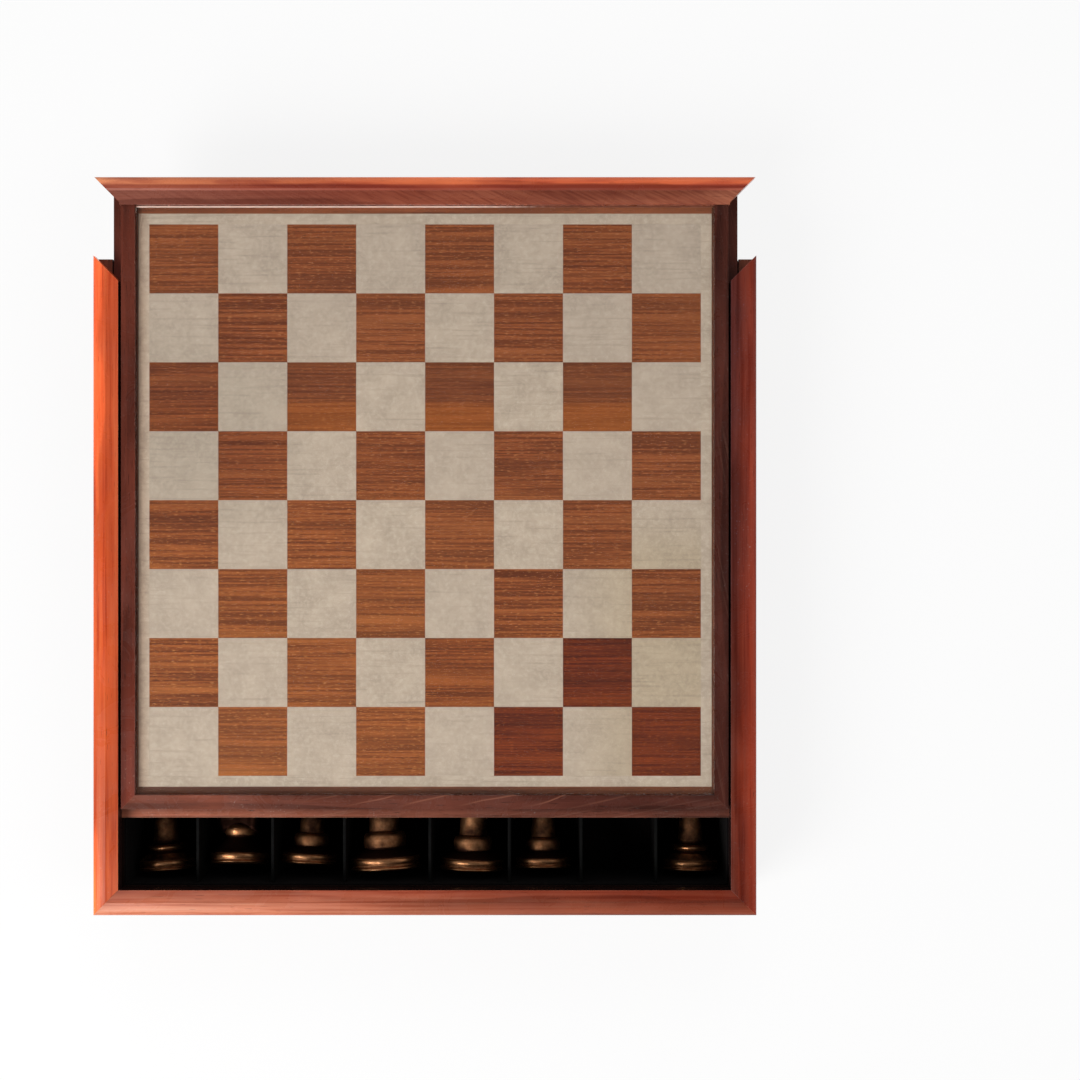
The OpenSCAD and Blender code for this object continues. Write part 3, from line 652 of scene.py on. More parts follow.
COLLAR = (
    [(0.56, 0.63), (0.62, 0.66), (0.66, 0.73), (0.635, 0.79), (0.52, 0.83), (0.46, 0.9), (0.45, 1.0)],
    [(0, 0.05), (0.3, 0.08), (0.36, 0.55), (0.6, 0.5), (0.67, 0.0), (0.8, 0.0), (0.86, 0.45), (1.7, 0.4),
     (2.2, 0.3)])


def foot_outline(base, shoulder):
    r, h = base / 2, FOOT_SHARE * base
    rim = [(0.0, 0.0), (r - 1.6, 0.0), (r - 0.5, 0.45), (r, 1.1)]
    return rim + [(wide * r, up * h) for wide, up in [
        (0.985, 0.075), (0.93, 0.12), (0.955, 0.165), (RING_R, 0.22), (RING_R, RING_Z), (0.935, 0.33),
        (0.9, 0.37), (0.76, 0.47)] + shoulder[0]]


def collar_outline(r, z):
    return [(wide * r, z + up) for wide, up in (
        (0.62, 0), (0.95, 0.8), (1, 1.6), (0.98, 2.7), (0.8, 3.5), (0.62, 4), (0.75, 4.8), (0.75, 5.8),
        (0.62, 6.4), (0.73, 7.2), (0.73, 8.2), (0.66, COLLARS_H))]


def turned_outline(base, collar_r, head_z, head, shoulder=SWELLING):
    stem = [(0.44 * base / 2, FOOT_SHARE * base), (0.62 * collar_r, head_z - COLLARS_H - 0.2)]
    return foot_outline(base, shoulder) + stem + collar_outline(collar_r, head_z - COLLARS_H) + head


def on_line(p, q, k, parts=1):
    """The point that lies k parts of the way from p to q."""
    return p[0] + (q[0] - p[0]) * k / parts, p[1] + (q[1] - p[1]) * k / parts


def softened(outline):
    """The outline with its corners cut round twice, then with points at every OUTLINE_STEP or so."""
    for _ in range(2):
        cut = [outline[0]]
        for p, q in zip(outline, outline[1:]):
            share = min(0.25, 0.5 / max(math.dist(p, q), 0.01))
            cut += [on_line(p, q, share), on_line(q, p, share)]
        outline = cut + [outline[-1]]
    fine = [outline[0]]
    for p, q in zip(outline, outline[1:]):
        parts = max(1, math.ceil(math.dist(p, q) / OUTLINE_STEP))
        fine += [on_line(p, q, k, parts) for k in range(1, parts + 1)]
    return fine


def lathed(outline, seed, carve=None, shoulder=SWELLING):
    """Turns an outline about Z. Carve moves a point (angle, r, z) to a new radius."""
    points = np.array(softened(outline))
    # Dark in the grooves as patina, and on the bell's flank and up the stem as painted shade: polished on the
    # rings, shoulder and head
    wide = np.convolve(np.pad(points[:, 0], 4, mode="edge"), np.ones(9) / 9, mode="valid")
    foot_top = FOOT_SHARE * 2 * points[:, 0].max()
    patina_and_shade = np.clip((wide - points[:, 0]) / 0.9, 0, 1) + np.interp(points[:, 1] / foot_top, *zip(*shoulder[1]))
    form = bmesh.new()
    mark = form.verts.layers.float.new("hollow_and_shade")
    rings = []
    for (r, z), darkening in zip(points.tolist(), patina_and_shade):
        if r < 1e-6:
            rings.append([form.verts.new((0, 0, z))])
            rings[-1][0][mark] = 0.2
            continue
        rings.append([])
        for k in range(LATHE_SIDES):
            a = 2 * math.pi * k / LATHE_SIDES
            rough = 0.16 * noise.noise(Vector((math.cos(a) * 2.2 + seed, math.sin(a) * 2.2, z * 0.14)))
            radius = (carve(a, r, z) if carve else r) + rough * min(1, r / 6)
            vert = form.verts.new((radius * math.cos(a), radius * math.sin(a), z))
            vert[mark] = float(darkening) + (0.6 if radius < r - 0.8 else 0.0)
            rings[-1].append(vert)
    for low, high in zip(rings, rings[1:]):
        for k in range(LATHE_SIDES):
            nxt = (k + 1) % LATHE_SIDES
            around = (low[k % len(low)], low[nxt % len(low)], high[nxt % len(high)], high[k % len(high)])
            corners = list(dict.fromkeys(around))
            if len(corners) > 2:
                form.faces.new(corners)
    bmesh.ops.recalc_face_normals(form, faces=form.faces)
    return form


def man(form, base, outline, node, turn):
    """Tips a standing man over until its ring and head touch, and sets it in its CAD node's place."""
    ring_r, ring_z = RING_R * base / 2, RING_Z * FOOT_SHARE * base
    tilt = math.atan(min((ring_r - r) / (z - ring_z) for r, z in outline if z > ring_z + 1))
    bmesh.ops.transform(form, matrix=Matrix.Scale(MM, 4), verts=form.verts)
    tip = Matrix.Rotation(math.radians(turn), 4, "Z") @ Matrix.Rotation(-math.pi / 2 - tilt, 4, "X")
    bmesh.ops.transform(form, matrix=tip, verts=form.verts)
    place = np.array([v.co for v in form.verts])
    low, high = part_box(node)
    middle = (place.min(0) + place.max(0)) / 2
    shift = [(low[i] + high[i]) / 2 - middle[i] for i in (0, 1)] + [low.z - place[:, 2].min()]
    bmesh.ops.translate(form, vec=Vector(shift), verts=form.verts)
    settled(form, "copper_" + node, "drawer", copper, node, smooth=60, flat_faces=False)


king_h, king_base = 111.0, 47.0
crown_top = 0.84 * king_h
king_outline = turned_outline(king_base, 13, 0.7 * king_h, [
    (9.4, 0.71 * king_h), (12.3, crown_top - 1.5), (12.0, crown_top), (8.4, crown_top + 0.7),
    (7.4, crown_top + 1.2), (6, crown_top + 2.2), (2.5, crown_top + 3), (0, crown_top + 3)])


def octagonal_crown(top, low):
    """The crown is cut with eight flats."""
    def carve(a, r, z):
        if low < z < top:
            flat = math.cos(math.pi / 8) / math.cos((a % (math.pi / 4)) - math.pi / 8)
            return r * (0.35 + 0.65 * flat)
        return r
    return carve


def cross_on(form, z, top):
    """A cross with splayed arms, rounded all over, standing on the crown."""
    h, half = top - z, 1.7
    side = [(0, 0), (2.6, 0), (1.5, 0.4 * h), (5.4, 0.32 * h), (5.9, 0.55 * h), (5.4, 0.78 * h), (1.5, 0.66 * h),
            (2.4, h - 0.5), (0, h)]
    loop = side + [(-x, y) for x, y in reversed(side[1:-1])]
    front = [form.verts.new((x, -half, z + y)) for x, y in loop]
    back = [form.verts.new((x, half, z + y)) for x, y in loop]
    new = [form.faces.new(front), form.faces.new(list(reversed(back)))]
    for k in range(len(loop)):
        nxt = (k + 1) % len(loop)
        new.append(form.faces.new((front[k], back[k], back[nxt], front[nxt])))
    bmesh.ops.recalc_face_normals(form, faces=new)
    rounded(form, list({e for f in new for e in f.edges}), 0.5, 3)
    return form


king_form = lathed(king_outline, 1.3, octagonal_crown(crown_top + 1, 0.705 * king_h))
man(cross_on(king_form, crown_top + 1.5, king_h), king_base,
    king_outline + [(5.9, 0.55 * (king_h - crown_top) + crown_top)], "king", 3)

queen_h, queen_base = 100.0, 43.0
coronet_top = 0.88 * queen_h
queen_outline = turned_outline(queen_base, 12, 0.71 * queen_h, [
    (8.6, 0.72 * queen_h), (11.3, coronet_top - 1.5), (11.1, coronet_top), (8.8, coronet_top + 0.2),
    (7.6, coronet_top + 1.4), (4.6, coronet_top + 3.2), (2.4, coronet_top + 4), (2.6, coronet_top + 4.8),
    (3.7, coronet_top + 6.2), (3.8, coronet_top + 7.6), (3.1, queen_h - 2.2), (1.8, queen_h - 0.5), (0, queen_h)])


def scalloped(top, depth, count):
    """The coronet's rim is notched between its points."""
    def carve(a, r, z):
        if top - 4.5 < z <= top + 0.25 and r > 8:
            return r - depth * max(0.0, math.cos(count * a)) ** 3 * min(1.0, (z - top + 4.5) / 3)
        return r
    return carve


man(lathed(queen_outline, 5.1, scalloped(coronet_top, 2.6, 8)), queen_base, queen_outline, "queen", -2)

bishop_h, bishop_base = 85.0, 38.0
mitre_z, mitre_h = 0.68 * bishop_h, 0.25 * bishop_h
mitre_mid, mitre_top = mitre_z + 0.4 * mitre_h, mitre_z + mitre_h
mitre_curve = [(9 * math.cos(math.radians(a)), mitre_mid + 0.6 * mitre_h * math.sin(math.radians(a)))
               for a in range(-36, 73, 12)]
bishop_outline = turned_outline(bishop_base, 10.5, mitre_z, mitre_curve + [
    (2.2, mitre_top), (2.9, mitre_top + 1), (3.2, mitre_top + 2.4), (2.4, bishop_h - 1.2), (0, bishop_h)])


def slit(z_mid, slope, width, depth):
    """A slanting cut in one side of the bishop's mitre."""
    def carve(a, r, z):
        x = r * math.cos(a)
        off = abs(z - z_mid - slope * (x - 4))
        if x > 0.5 and off < width and r > 4:
            return r - depth * min(1.0, (width - off) / 0.5)
        return r
    return carve


for node, turn, seed in (("left_bishop", -3, 9.2), ("right_bishop", 0, 14.6)):
    bishop_form = lathed(bishop_outline, seed, slit(mitre_mid + 0.25 * mitre_h, 0.84, 1.1, 3.2))
    man(bishop_form, bishop_base, bishop_outline, node, turn)

rook_h, rook_base = 65.0, 38.0
turret_z = 0.68 * rook_h
rook_outline = turned_outline(rook_base, 11.5, turret_z, [
    (9.2, turret_z + 0.05 * rook_h), (11.9, turret_z + 0.13 * rook_h), (12, turret_z + 0.16 * rook_h)] + [
    (r, rook_h + up) for r, up in ((12, -4.6), (12, -4), (12, -0.4), (11.6, 0), (8.4, 0), (8, -0.4),
                                   (8, -4), (8, -5), (0, -5))], COLLAR)


def battlements(form, z, count, width):
    """Cuts the wall of the turret down between its merlons."""
    for k in range(count):
        middle = 2 * math.pi * (k + 0.5) / count
        for vert in form.verts:
            r = math.hypot(vert.co.x, vert.co.y)
            a = (math.atan2(vert.co.y, vert.co.x) - middle + math.pi) % (2 * math.pi) - math.pi
            if vert.co.z > z and r > 7.5 and abs(a) * r < width / 2:
                vert.co.z = z
    bmesh.ops.dissolve_degenerate(form, dist=0.001, edges=form.edges)
    return form


for node, turn, seed in (("left_rook", 3, 21.0), ("right_rook", -1, 27.5)):
    rook_form = battlements(lathed(rook_outline, seed, shoulder=COLLAR), rook_h - 4, 6, 3.6)
    man(rook_form, rook_base, rook_outline, node, turn)

# The knight's head is one casting on the same foot: a flat-sided horse with a combed mane and an
# open mouth. Its sides swell from the outline inwards, as a casting's do.
knight_h, knight_base, knight_t = 72.0, 40.0, 16.0
neck_z = FOOT_SHARE * knight_base
HORSE = [
    (-0.25, -0.02), (-0.315, 0.1), (-0.33, 0.23), (-0.30, 0.36), (-0.29, 0.46), (-0.325, 0.62), (-0.35, 0.8),
    (-0.345, 0.9), (-0.31, 0.95), (-0.27, 0.99), (-0.2, 0.965), (-0.15, 0.985), (-0.11, 0.96), (-0.07, 0.925),
    (0.1, 0.915), (0.26, 0.895), (0.285, 0.86), (0.27, 0.81), (0.17, 0.785), (0.155, 0.765), (0.24, 0.745),
    (0.255, 0.71), (0.225, 0.69), (0.13, 0.685), (0.065, 0.62), (0.07, 0.57), (0.16, 0.5), (0.23, 0.41),
    (0.275, 0.3), (0.28, 0.18), (0.265, 0.08), (0.25, -0.02)]
HORSE_STEP = 0.62
# Raised and sunk places on its sides: where in shares of the head's height, how wide, and how high
FEATURES = [
    ((-0.02, 0.74, 0.09, 0.1), 1.2), ((0.04, 0.83, 0.022, 0.016), -1.0), ((0.04, 0.855, 0.05, 0.012), 0.5),
    ((0.235, 0.865, 0.014, 0.014), -0.8), ((0.0, 0.4, 0.035, 0.22), -1.3), ((0.1, 0.33, 0.05, 0.16), 0.9),
    ((0.15, 0.2, 0.025, 0.14), -0.6)]


def inside_of(loop, grid_x, grid_z):
    """Which points of a grid a loop encloses, how far each is from it, and its nearest place on it."""
    gap = np.full(grid_x.shape, 1e9)
    inside = np.zeros(grid_x.shape, bool)
    near = np.zeros(grid_x.shape + (2,))
    for (ax, az), (bx, bz) in zip(loop, np.roll(loop, -1, axis=0)):
        dx, dz = bx - ax, bz - az
        t = np.clip(((grid_x - ax) * dx + (grid_z - az) * dz) / (dx * dx + dz * dz), 0, 1)
        on_loop = np.stack([ax + t * dx, az + t * dz], -1)
        d = np.hypot(grid_x - on_loop[..., 0], grid_z - on_loop[..., 1])
        closer = d < gap
        gap = np.where(closer, d, gap)
        near[closer] = on_loop[closer]
        inside ^= ((az > grid_z) != (bz > grid_z)) & (grid_x < dx * (grid_z - az) / (dz + 1e-12) + ax)
    return inside, gap, near


def horse_form():
    head_h = knight_h - neck_z
    loop = np.array(HORSE) * head_h
    reach = [np.arange(axis.min() - HORSE_STEP, axis.max() + 2 * HORSE_STEP, HORSE_STEP) for axis in loop.T]
    grid_x, grid_z = np.meshgrid(*reach, indexing="ij")
    inside, gap, near = inside_of(loop, grid_x, grid_z)
    keep = inside | (gap < HORSE_STEP * 0.72)
    x = np.where(inside, grid_x, near[..., 0])
    z = np.where(inside, grid_z, near[..., 1])
    u, v = x / head_h, z / head_h

    def hill(cu, cv, ru, rv):
        return np.exp(-(((u - cu) / ru) ** 2 + ((v - cv) / rv) ** 2))

    half = knight_t / 2 * np.interp(v, [-0.05, 0.15, 0.45, 0.7, 0.85, 1.0], [1.0, 1.0, 0.86, 0.62, 0.58, 0.3])
    half = half * (1 - 0.38 * np.clip((u - 0.02) / 0.24, 0, 1) * np.clip((v - 0.6) / 0.1, 0, 1))
    swell = np.sqrt(np.clip(1 - (1 - np.clip(np.where(inside, gap, 0.0) / 4.6, 0, 1)) ** 2, 0, 1))
    mane = (u < -0.12 + 0.03 * np.sin(9 * v)) & (v > 0.16) & (v < 0.95)
    hair = 0.55 * (0.5 + 0.5 * np.sin(95 * v + 16 * u)) * np.clip((-0.1 - u) / 0.05, 0, 1)
    thick = (half + np.where(mane, 0.7 - hair, 0.0) + sum(high * hill(*at) for at, high in FEATURES)) * swell
    # Darkening: patina in the mane's combing, the eye and the sunk places, darker near the outline, and painted
    # shade low on the head
    hollow_and_shade = np.clip(0.9 - 1.1 * swell + np.interp(v, [0.2, 0.5], [1.0, 0.0]) + np.where(mane, hair, 0)
                     + hill(0.04, 0.83, 0.03, 0.02) + 0.6 * hill(0, 0.4, 0.04, 0.2), 0, 1)
    form = bmesh.new()
    mark = form.verts.layers.float.new("hollow_and_shade")
    verts = {}
    for side in (-1, 1):
        for i, j in zip(*np.nonzero(keep)):
            vert = form.verts.new((float(x[i, j]), side * max(0.0, float(thick[i, j])), float(z[i, j]) + neck_z))
            vert[mark] = float(hollow_and_shade[i, j])
            verts[side, i, j] = vert
    for side in (-1, 1):
        for i, j in zip(*np.nonzero(keep[:-1, :-1] & keep[1:, :-1] & keep[1:, 1:] & keep[:-1, 1:])):
            ring = [verts[side, i, j], verts[side, i + 1, j], verts[side, i + 1, j + 1], verts[side, i, j + 1]]
            form.faces.new(ring if side < 0 else ring[::-1])
    bmesh.ops.remove_doubles(form, verts=form.verts, dist=0.12)
    bmesh.ops.delete(form, geom=[v for v in form.verts if not v.link_faces], context="VERTS")
    bmesh.ops.holes_fill(form, edges=[e for e in form.edges if e.is_boundary], sides=0)
    stray = [f for f in form.faces if not any(e.is_manifold for e in f.edges)]
    bmesh.ops.delete(form, geom=stray, context="FACES")
    bmesh.ops.recalc_face_normals(form, faces=form.faces)
    bmesh.ops.smooth_vert(form, verts=form.verts, factor=0.4, use_axis_x=True, use_axis_y=True, use_axis_z=True)
    return form


knight_outline = foot_outline(knight_base, HIGH_SWELLING)
knight_form = lathed(knight_outline + [(0.38 * knight_base / 2, 1.25 * neck_z), (0, 1.26 * neck_z)], 33.0,
                     shoulder=HIGH_SWELLING)
horse = horse_form()
horse_mesh = bpy.data.meshes.new("horse")
horse.to_mesh(horse_mesh)
horse.free()
knight_form.from_mesh(horse_mesh)
man(knight_form, knight_base, knight_outline + [(knight_t / 2 * 0.62, knight_h - 4)], "knight", 0)

# ---- Board frame ----
# Three members of dark hardwood, mitred in front, each with a running ledge along its foot, and a
# batten across the rear. The varnish is glossy, and pale slanting streaks are painted over the figure
# as reflections.

# For each member: the grain's turn, its place in the figure, its colour's factor at its left or
# front end and at the other, which on the three members is painted light and shade, the share of its
# length over which that changes, and how strongly its painted reflections show
MEMBERS = {
    "frame_left": ("left_member", ALONG_Y, (0.2, 0.05, 0), (1.75, 1.35, 1.15), (0.80, 0.72, 0.67), 0.45, 0.08),
    "frame_right": ("right_member", ALONG_Y, (1.2, 0.02, 0), (0.56, 0.58, 0.62), (0.6, 0.62, 0.65), 1.0, 0.2),
    "frame_front": ("front_member", ALONG_X, (2.1, 0.03, 0), (1.65, 2.0, 1.95), (0.58, 0.66, 0.71), 0.8, 0.18),
    "rear_batten": ("rear_batten_board", ALONG_X, (3.3, 0.01, 0), (0.9, 0.9, 0.9), (0.9, 0.9, 0.9), 1.0, 0.2)}


def streaked_wood(name, turn, shift, strength):
    """The frame's wood, with painted reflections: pale slanting streaks over the plain figure."""
    finish = wood(name, (0.078, 0.017, 0.010), (0.19, 0.046, 0.028), turn, shift, rings=95, sway=3.0,
                  pores=0.6, clouds=0.5, rub=0.6, rub_tint=(0.3, 0.13, 0.08), clean=0.2, dull=0.42, coat=0.45,
                  coat_rough=0.12)
    shader, own, base = reopened(finish)
    slanted = own.mapped((0, 0, turn[2] - math.radians(11)), shift)
    # Painted reflections: pale slanting streaks, stronger towards the right
    reflection_streaks = slanted.grain((10, 820, 60)).ranged(0.57, 0.70) * slanted.grain((13, 60, 20), 1.0).ranged(0.44, 0.6)
    rightwards = own.axis("X").ranged(-150 * MM, 20 * MM, 0.1, 1.0)
    dress(shader, Base_Color=tinted(reflection_streaks * rightwards * strength, base, (0.34, 0.15, 0.10)))
    return finish


REFLECTION_SLOPE = 4.2  # how far a painted reflection runs to the right for each unit backwards
REFLECTION_PITCH = 38 * MM


def front_painted_light(finish, ledge_y):
    """The front member: its ledge is painted lighter towards its edge as painted light, and thin pale lines slant
    over its top as painted reflections.
    """
    shader, own, base = reopened(finish)
    x, y = own.axis("X"), own.axis("Y")
    # Painted light: the ledge lightens towards its front edge
    base = times(y.ranged(ledge_y + 7.5 * MM, ledge_y + 0.5 * MM, 0.0, 0.9), base, (2.3, 2.6, 2.5))
    slant = y.calc("MULTIPLY_ADD", -REFLECTION_SLOPE, x)
    saw = (slant / REFLECTION_PITCH + own.noise(16.0) * 1.1).calc("FRACT")
    line = saw.ranged(0.0, 0.10) * saw.ranged(0.16, 0.10)
    on_top = y.ranged(ledge_y + 8 * MM, ledge_y + 13 * MM, 0.1, 1.0)
    in_middle = x.ranged(-100 * MM, -20 * MM) * x.ranged(150 * MM, 70 * MM, 0.12, 0.55)
    # Painted reflections: thin pale slanting lines over the top, mostly in the middle
    dress(shader, Base_Color=tinted(line * on_top * in_middle, base, (0.33, 0.125, 0.075)))


for node, (name, turn, shift, light_at_low, light_at_high, reach, strength) in MEMBERS.items():
    finish = streaked_wood(name + " wood", turn, shift, strength)
    # Painted light and shade along the member
    painted_light_along(finish, node, 0 if turn == ALONG_X else 1, light_at_low, light_at_high, reach)
    if node == "frame_front":
        front_painted_light(finish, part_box(node)[0].y)
    eased_piece(node, name, "board_top", finish, 0.4 * MM)

# ---- Rear rail ----
# The fourth length of moulding, glued and screwed to the board's frame so that it closes the box.
# Its mitred ends stand out past the frame to meet the drawer's mouldings.

moulding("rear_rail", "rear_rail_length", "board_top", ALONG_X, (2.6, 0.05, 0.02))
screws("rail_screws", "rail_screw_set", "board_top", 8)

# ---- Panel, beads and brads ----
# A plywood panel let into the frame from below, and four plain beads bradded under its edges.
# Nothing here was meant to be seen, so the wood is bare.

panel_ply = plywood("panel ply", (0.34, 0.2, 0.105), (0.5, 0.33, 0.19), ALONG_Y, (0.1, 0.2, 0), 22, 6.5, 0.8)
eased_piece("board_panel", "panel_sheet", "board_top", panel_ply, 0.2 * MM)
for node, turn, shift in (("left_bead", ALONG_Y, 0.1), ("right_bead", ALONG_Y, 0.7),
                          ("front_bead", ALONG_X, 1.3), ("rear_bead", ALONG_X, 1.9)):
    bare = wood(node + " wood", (0.17, 0.075, 0.042), (0.3, 0.15, 0.085), turn, (shift, 0.02, 0), rings=140,
                rub=0.3, clean=0.5, dull=0.7, coat=0.0)
    eased_piece(node, node + "_length", "board_top", bare, 0.3 * MM)
eased_piece("bead_brads", "bead_brad_set", "board_top", steel, 0.12 * MM)

# ---- Playing field ----
# Sixty-four squares of veneer, glued edge to edge: reddish-brown ones with straight dark grain from
# left to right, cut in strips so that a rank shares its bands, and grey-ivory ones, faintly mottled.

field_low, field_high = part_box("dark_squares")
square = (field_high.x - field_low.x) / 8
middle_x, middle_y, middle_z = (field_low + field_high) / 2

SQUARES, ins, ends = geometry_group(
    "inlaid squares", [("Square", "Float", 0.045), ("Depth", "Float", 0.001), ("Joint", "Float", 0.0001),
                       ("Parity", "Int", 0), ("Middle", "Vector", (0, 0, 0))])
span = ins["Square"] * 7.0
spots = put(SQUARES, "GeometryNodeMeshGrid", span, span, 8, 8, out="Mesh")
index = put(SQUARES, "GeometryNodeInputIndex")
file_no, rank_no = (index / 8.0).calc("FLOOR"), index % 8.0
chance = put(SQUARES, "FunctionNodeRandomValue", ID=index, Seed=ins["Seed"], out=1, sets={"data_type": "FLOAT"})
for label, value in (("file", file_no), ("rank", rank_no), ("tone", chance)):
    spots = put(SQUARES, "GeometryNodeStoreNamedAttribute", Geometry=spots, Name=label, Value=value,
                sets={"data_type": "FLOAT", "domain": "POINT"})
wrong = abs((file_no + rank_no) % 2.0 - ins["Parity"]) > 0.5
chosen = put(SQUARES, "GeometryNodeDeleteGeometry", Geometry=spots, Selection=wrong, sets={"domain": "POINT"})
side = ins["Square"] - ins["Joint"]
tile_size = put(SQUARES, "ShaderNodeCombineXYZ", side, side, ins["Depth"])
tile = put(SQUARES, "GeometryNodeMeshCube", Size=tile_size, out="Mesh")
tiles = put(SQUARES, "GeometryNodeInstanceOnPoints", Points=chosen, Instance=tile)
made_real(SQUARES, put(SQUARES, "GeometryNodeTransform", Geometry=tiles, Translation=ins["Middle"]), ins, ends)


def shade_patch_at(own):
    """Painted shade: a patch near the left edge, behind the middle, where both veneers are darker."""
    place = (middle_x - 3.3 * square, middle_y + 1.0 * square, field_high.z)
    return own.vector("DISTANCE", place, "Value").ranged(2.1 * square, 0.5 * square)


brown, shader, own = new_material("brown veneer")
tone_no, rank_at, file_at = (attribute(own.tree, label) for label in ("tone", "rank", "file"))
x, y = own.axis("X"), own.axis("Y")
# Each tile reads another part of the sheet, but tiles of one rank share their height in it
sheet_at = own.vector("ADD", put(own.tree, "ShaderNodeCombineXYZ", tone_no * 3.0, rank_at * 0.031, 0.0))
lines = sheet_at.grain((10, 620, 0), 4.0, 0.62)
broad = sheet_at.grain((3, 85, 0), 3.0, 0.5)
ticks = sheet_at.grain((210, 2300, 0), 1.0)
flecks = sheet_at.vector("ADD", (0.7, 0.3, 0)).grain((240, 1500, 0), 2.0)
tone = tinted(lines.ranged(0.38, 0.62), (0.110, 0.024, 0.0068), (0.270, 0.077, 0.023))
tone = tinted(broad.ranged(0.5, 0.68) * 0.6, tone, (0.088, 0.019, 0.006))
tone = tinted(ticks.ranged(0.6, 0.7) * 0.65, tone, (0.035, 0.010, 0.005))
tone = tinted(broad.ranged(0.46, 0.3) * 0.55, tone, (0.315, 0.105, 0.035))
tone = tinted(flecks.ranged(0.58, 0.7) * 0.6, tone, (0.46, 0.20, 0.08))
tone = tinted(tone_no.ranged(0.0, 1.0, 0.0, 0.18), tone, (0.29, 0.10, 0.034))
# The third rank from the rear is orange in front and darker behind, and the right front is redder
in_third = (abs(rank_at - 5.0) < 0.5) * file_at.ranged(0.5, 2.5, 0.2, 0.8)
third_middle = middle_y + 1.5 * square
band = (y + broad * (16 * MM)).ranged(third_middle + 9 * MM, third_middle - 1 * MM)
tone = tinted(in_third * (band * 0.45), tone, (0.34, 0.095, 0.008))
tone = tinted(in_third * ((1.0 - band) * 0.45), tone, (0.075, 0.019, 0.0085))
tone = times((rank_at < 1.5) * file_at.ranged(3.5, 4.8), tone, (0.58, 0.33, 0.16))
# Painted shade patch
tone = times(shade_patch_at(own), tone, (0.76, 0.68, 0.66))
# Painted light: the veneer is lighter towards the front left, where the light falls, and darker towards the rear
# right
toward_light = (x * 0.45 + y).ranged(middle_y - 4 * square, middle_y + 2.5 * square)
tone = times(1.0, tone, tinted(toward_light, (1.11, 1.05, 0.72), (0.91, 0.83, 0.75)))
dress(shader, Base_Color=tone, Roughness=lines.ranged(0.3, 0.7, 0.42, 0.6), Normal=lines.bump(0.12, 0.2 * MM),
      Specular_IOR_Level=0.15)


def ivory(name, with_tiles):
    """Grey-ivory veneer: soft clouds, fine lines from left to right, a few grey pinholes."""
    material, shader, own = new_material(name)
    x, sheet_at = own.axis("X"), own
    if with_tiles:
        tone_no = attribute(own.tree, "tone")
        sheet_at = own.vector("ADD", put(own.tree, "ShaderNodeCombineXYZ", tone_no * 5.0, 0.0, 0.0))
    mottle = sheet_at.noise(330.0, 4.0, 0.75)
    lines = sheet_at.grain((22, 520, 0), 3.0)
    clouds = sheet_at.noise(58.0, 6.0, 0.7)
    tone = tinted(clouds.ranged(0.3, 0.7), (0.345, 0.264, 0.206), (0.442, 0.343, 0.267))
    tone = tinted(mottle.ranged(0.42, 0.68) * 0.55, tone, (0.51, 0.415, 0.325))
    tone = tinted(lines.ranged(0.52, 0.72) * 0.42, tone, (0.26, 0.195, 0.155))
    if with_tiles:
        tone = tinted(tone_no.ranged(0.0, 1.0, 0.0, 0.25), tone, (0.385, 0.30, 0.245))
        # Painted shade patch
        tone = times(shade_patch_at(own), tone, (0.87, 0.88, 0.88))
        # Darker and a touch greyer at the rear as painted shade, and yellower at the front right
        y = own.axis("Y")
        tone = times(y.ranged(middle_y + square, middle_y + 3.5 * square), tone, (0.935, 0.935, 0.945))
        front_right = x.ranged(1.8 * square, 3.2 * square) * y.ranged(middle_y, middle_y - square)
        tone = times(front_right, tone, (0.92, 0.90, 0.82))
    else:
        # The border is painted darker and browner along its left side, as the shadow of the frame
        tone = times(x.ranged(-178 * MM, -186 * MM), tone, (0.90, 0.79, 0.74))
    dress(shader, Base_Color=tone, Roughness=mottle.ranged(0.3, 0.7, 0.45, 0.62),
          Normal=lines.bump(0.08, 0.2 * MM), Specular_IOR_Level=0.15)
    return material


TILE_EASE = 0.04 * MM
for node, name, slot, parity, finish, seed in (
        ("dark_squares", "brown_squares", "dark_veneer", 1, brown, 4),
        ("light_squares", "ivory_squares", "pale_veneer", 0, ivory("ivory veneer", True), 11)):
    mesh = grown(name, SQUARES, {
        "Square": square, "Depth": field_high.z - field_low.z, "Joint": 0.05 * MM, "Parity": parity,
        "Finish": finish, "Seed": seed, "Middle": (middle_x, middle_y, middle_z)})
    eased = placed(mesh, name, "board_top", node).modifiers.new("eased tile edges", "BEVEL")
    eased.width, eased.segments = TILE_EASE, 1
eased_piece("border_veneer", "ivory_border", "board_top", ivory("ivory border", False), TILE_EASE)

# ---- Strips round the field ----
# Brown wood strips fill the opening between the veneer and the frame: wide ones in front and
# behind, and mere slips at the sides.

# Each strip's wood is scaled by a factor: painted light on the rear strip, painted shade on the front and side
# ones
for node, turn, shift, light_factor in (("left_strip", ALONG_Y, 0.3, 0.7), ("right_strip", ALONG_Y, 0.8, 0.7),
                                   ("front_strip", ALONG_X, 1.4, 0.75), ("rear_strip", ALONG_X, 2.2, 1.35)):
    late, early = scaled((0.128, 0.033, 0.012), light_factor), scaled((0.245, 0.072, 0.028), light_factor)
    strip = wood(node + " wood", late, early, turn, (shift, 0.02, 0), rings=150, pores=0.6, rub=0.2, clean=0.35,
                 dull=0.55, coat=0.0)
    eased_piece(node, node + "_length", "board_top", strip, 0.1 * MM)

# ---- Glass ----
# A sheet of window glass laid on the veneer, loose in the frame. Its edges are ground, and its face
# has the faint smears of use.


def surfaced(tree, share, base, over):
    """Makes the material's surface a mix of two shaders."""
    mixed = put(tree, "ShaderNodeMixShader", share, base, over)
    dress(next(n for n in tree.nodes if n.type == "OUTPUT_MATERIAL"), Surface=mixed)


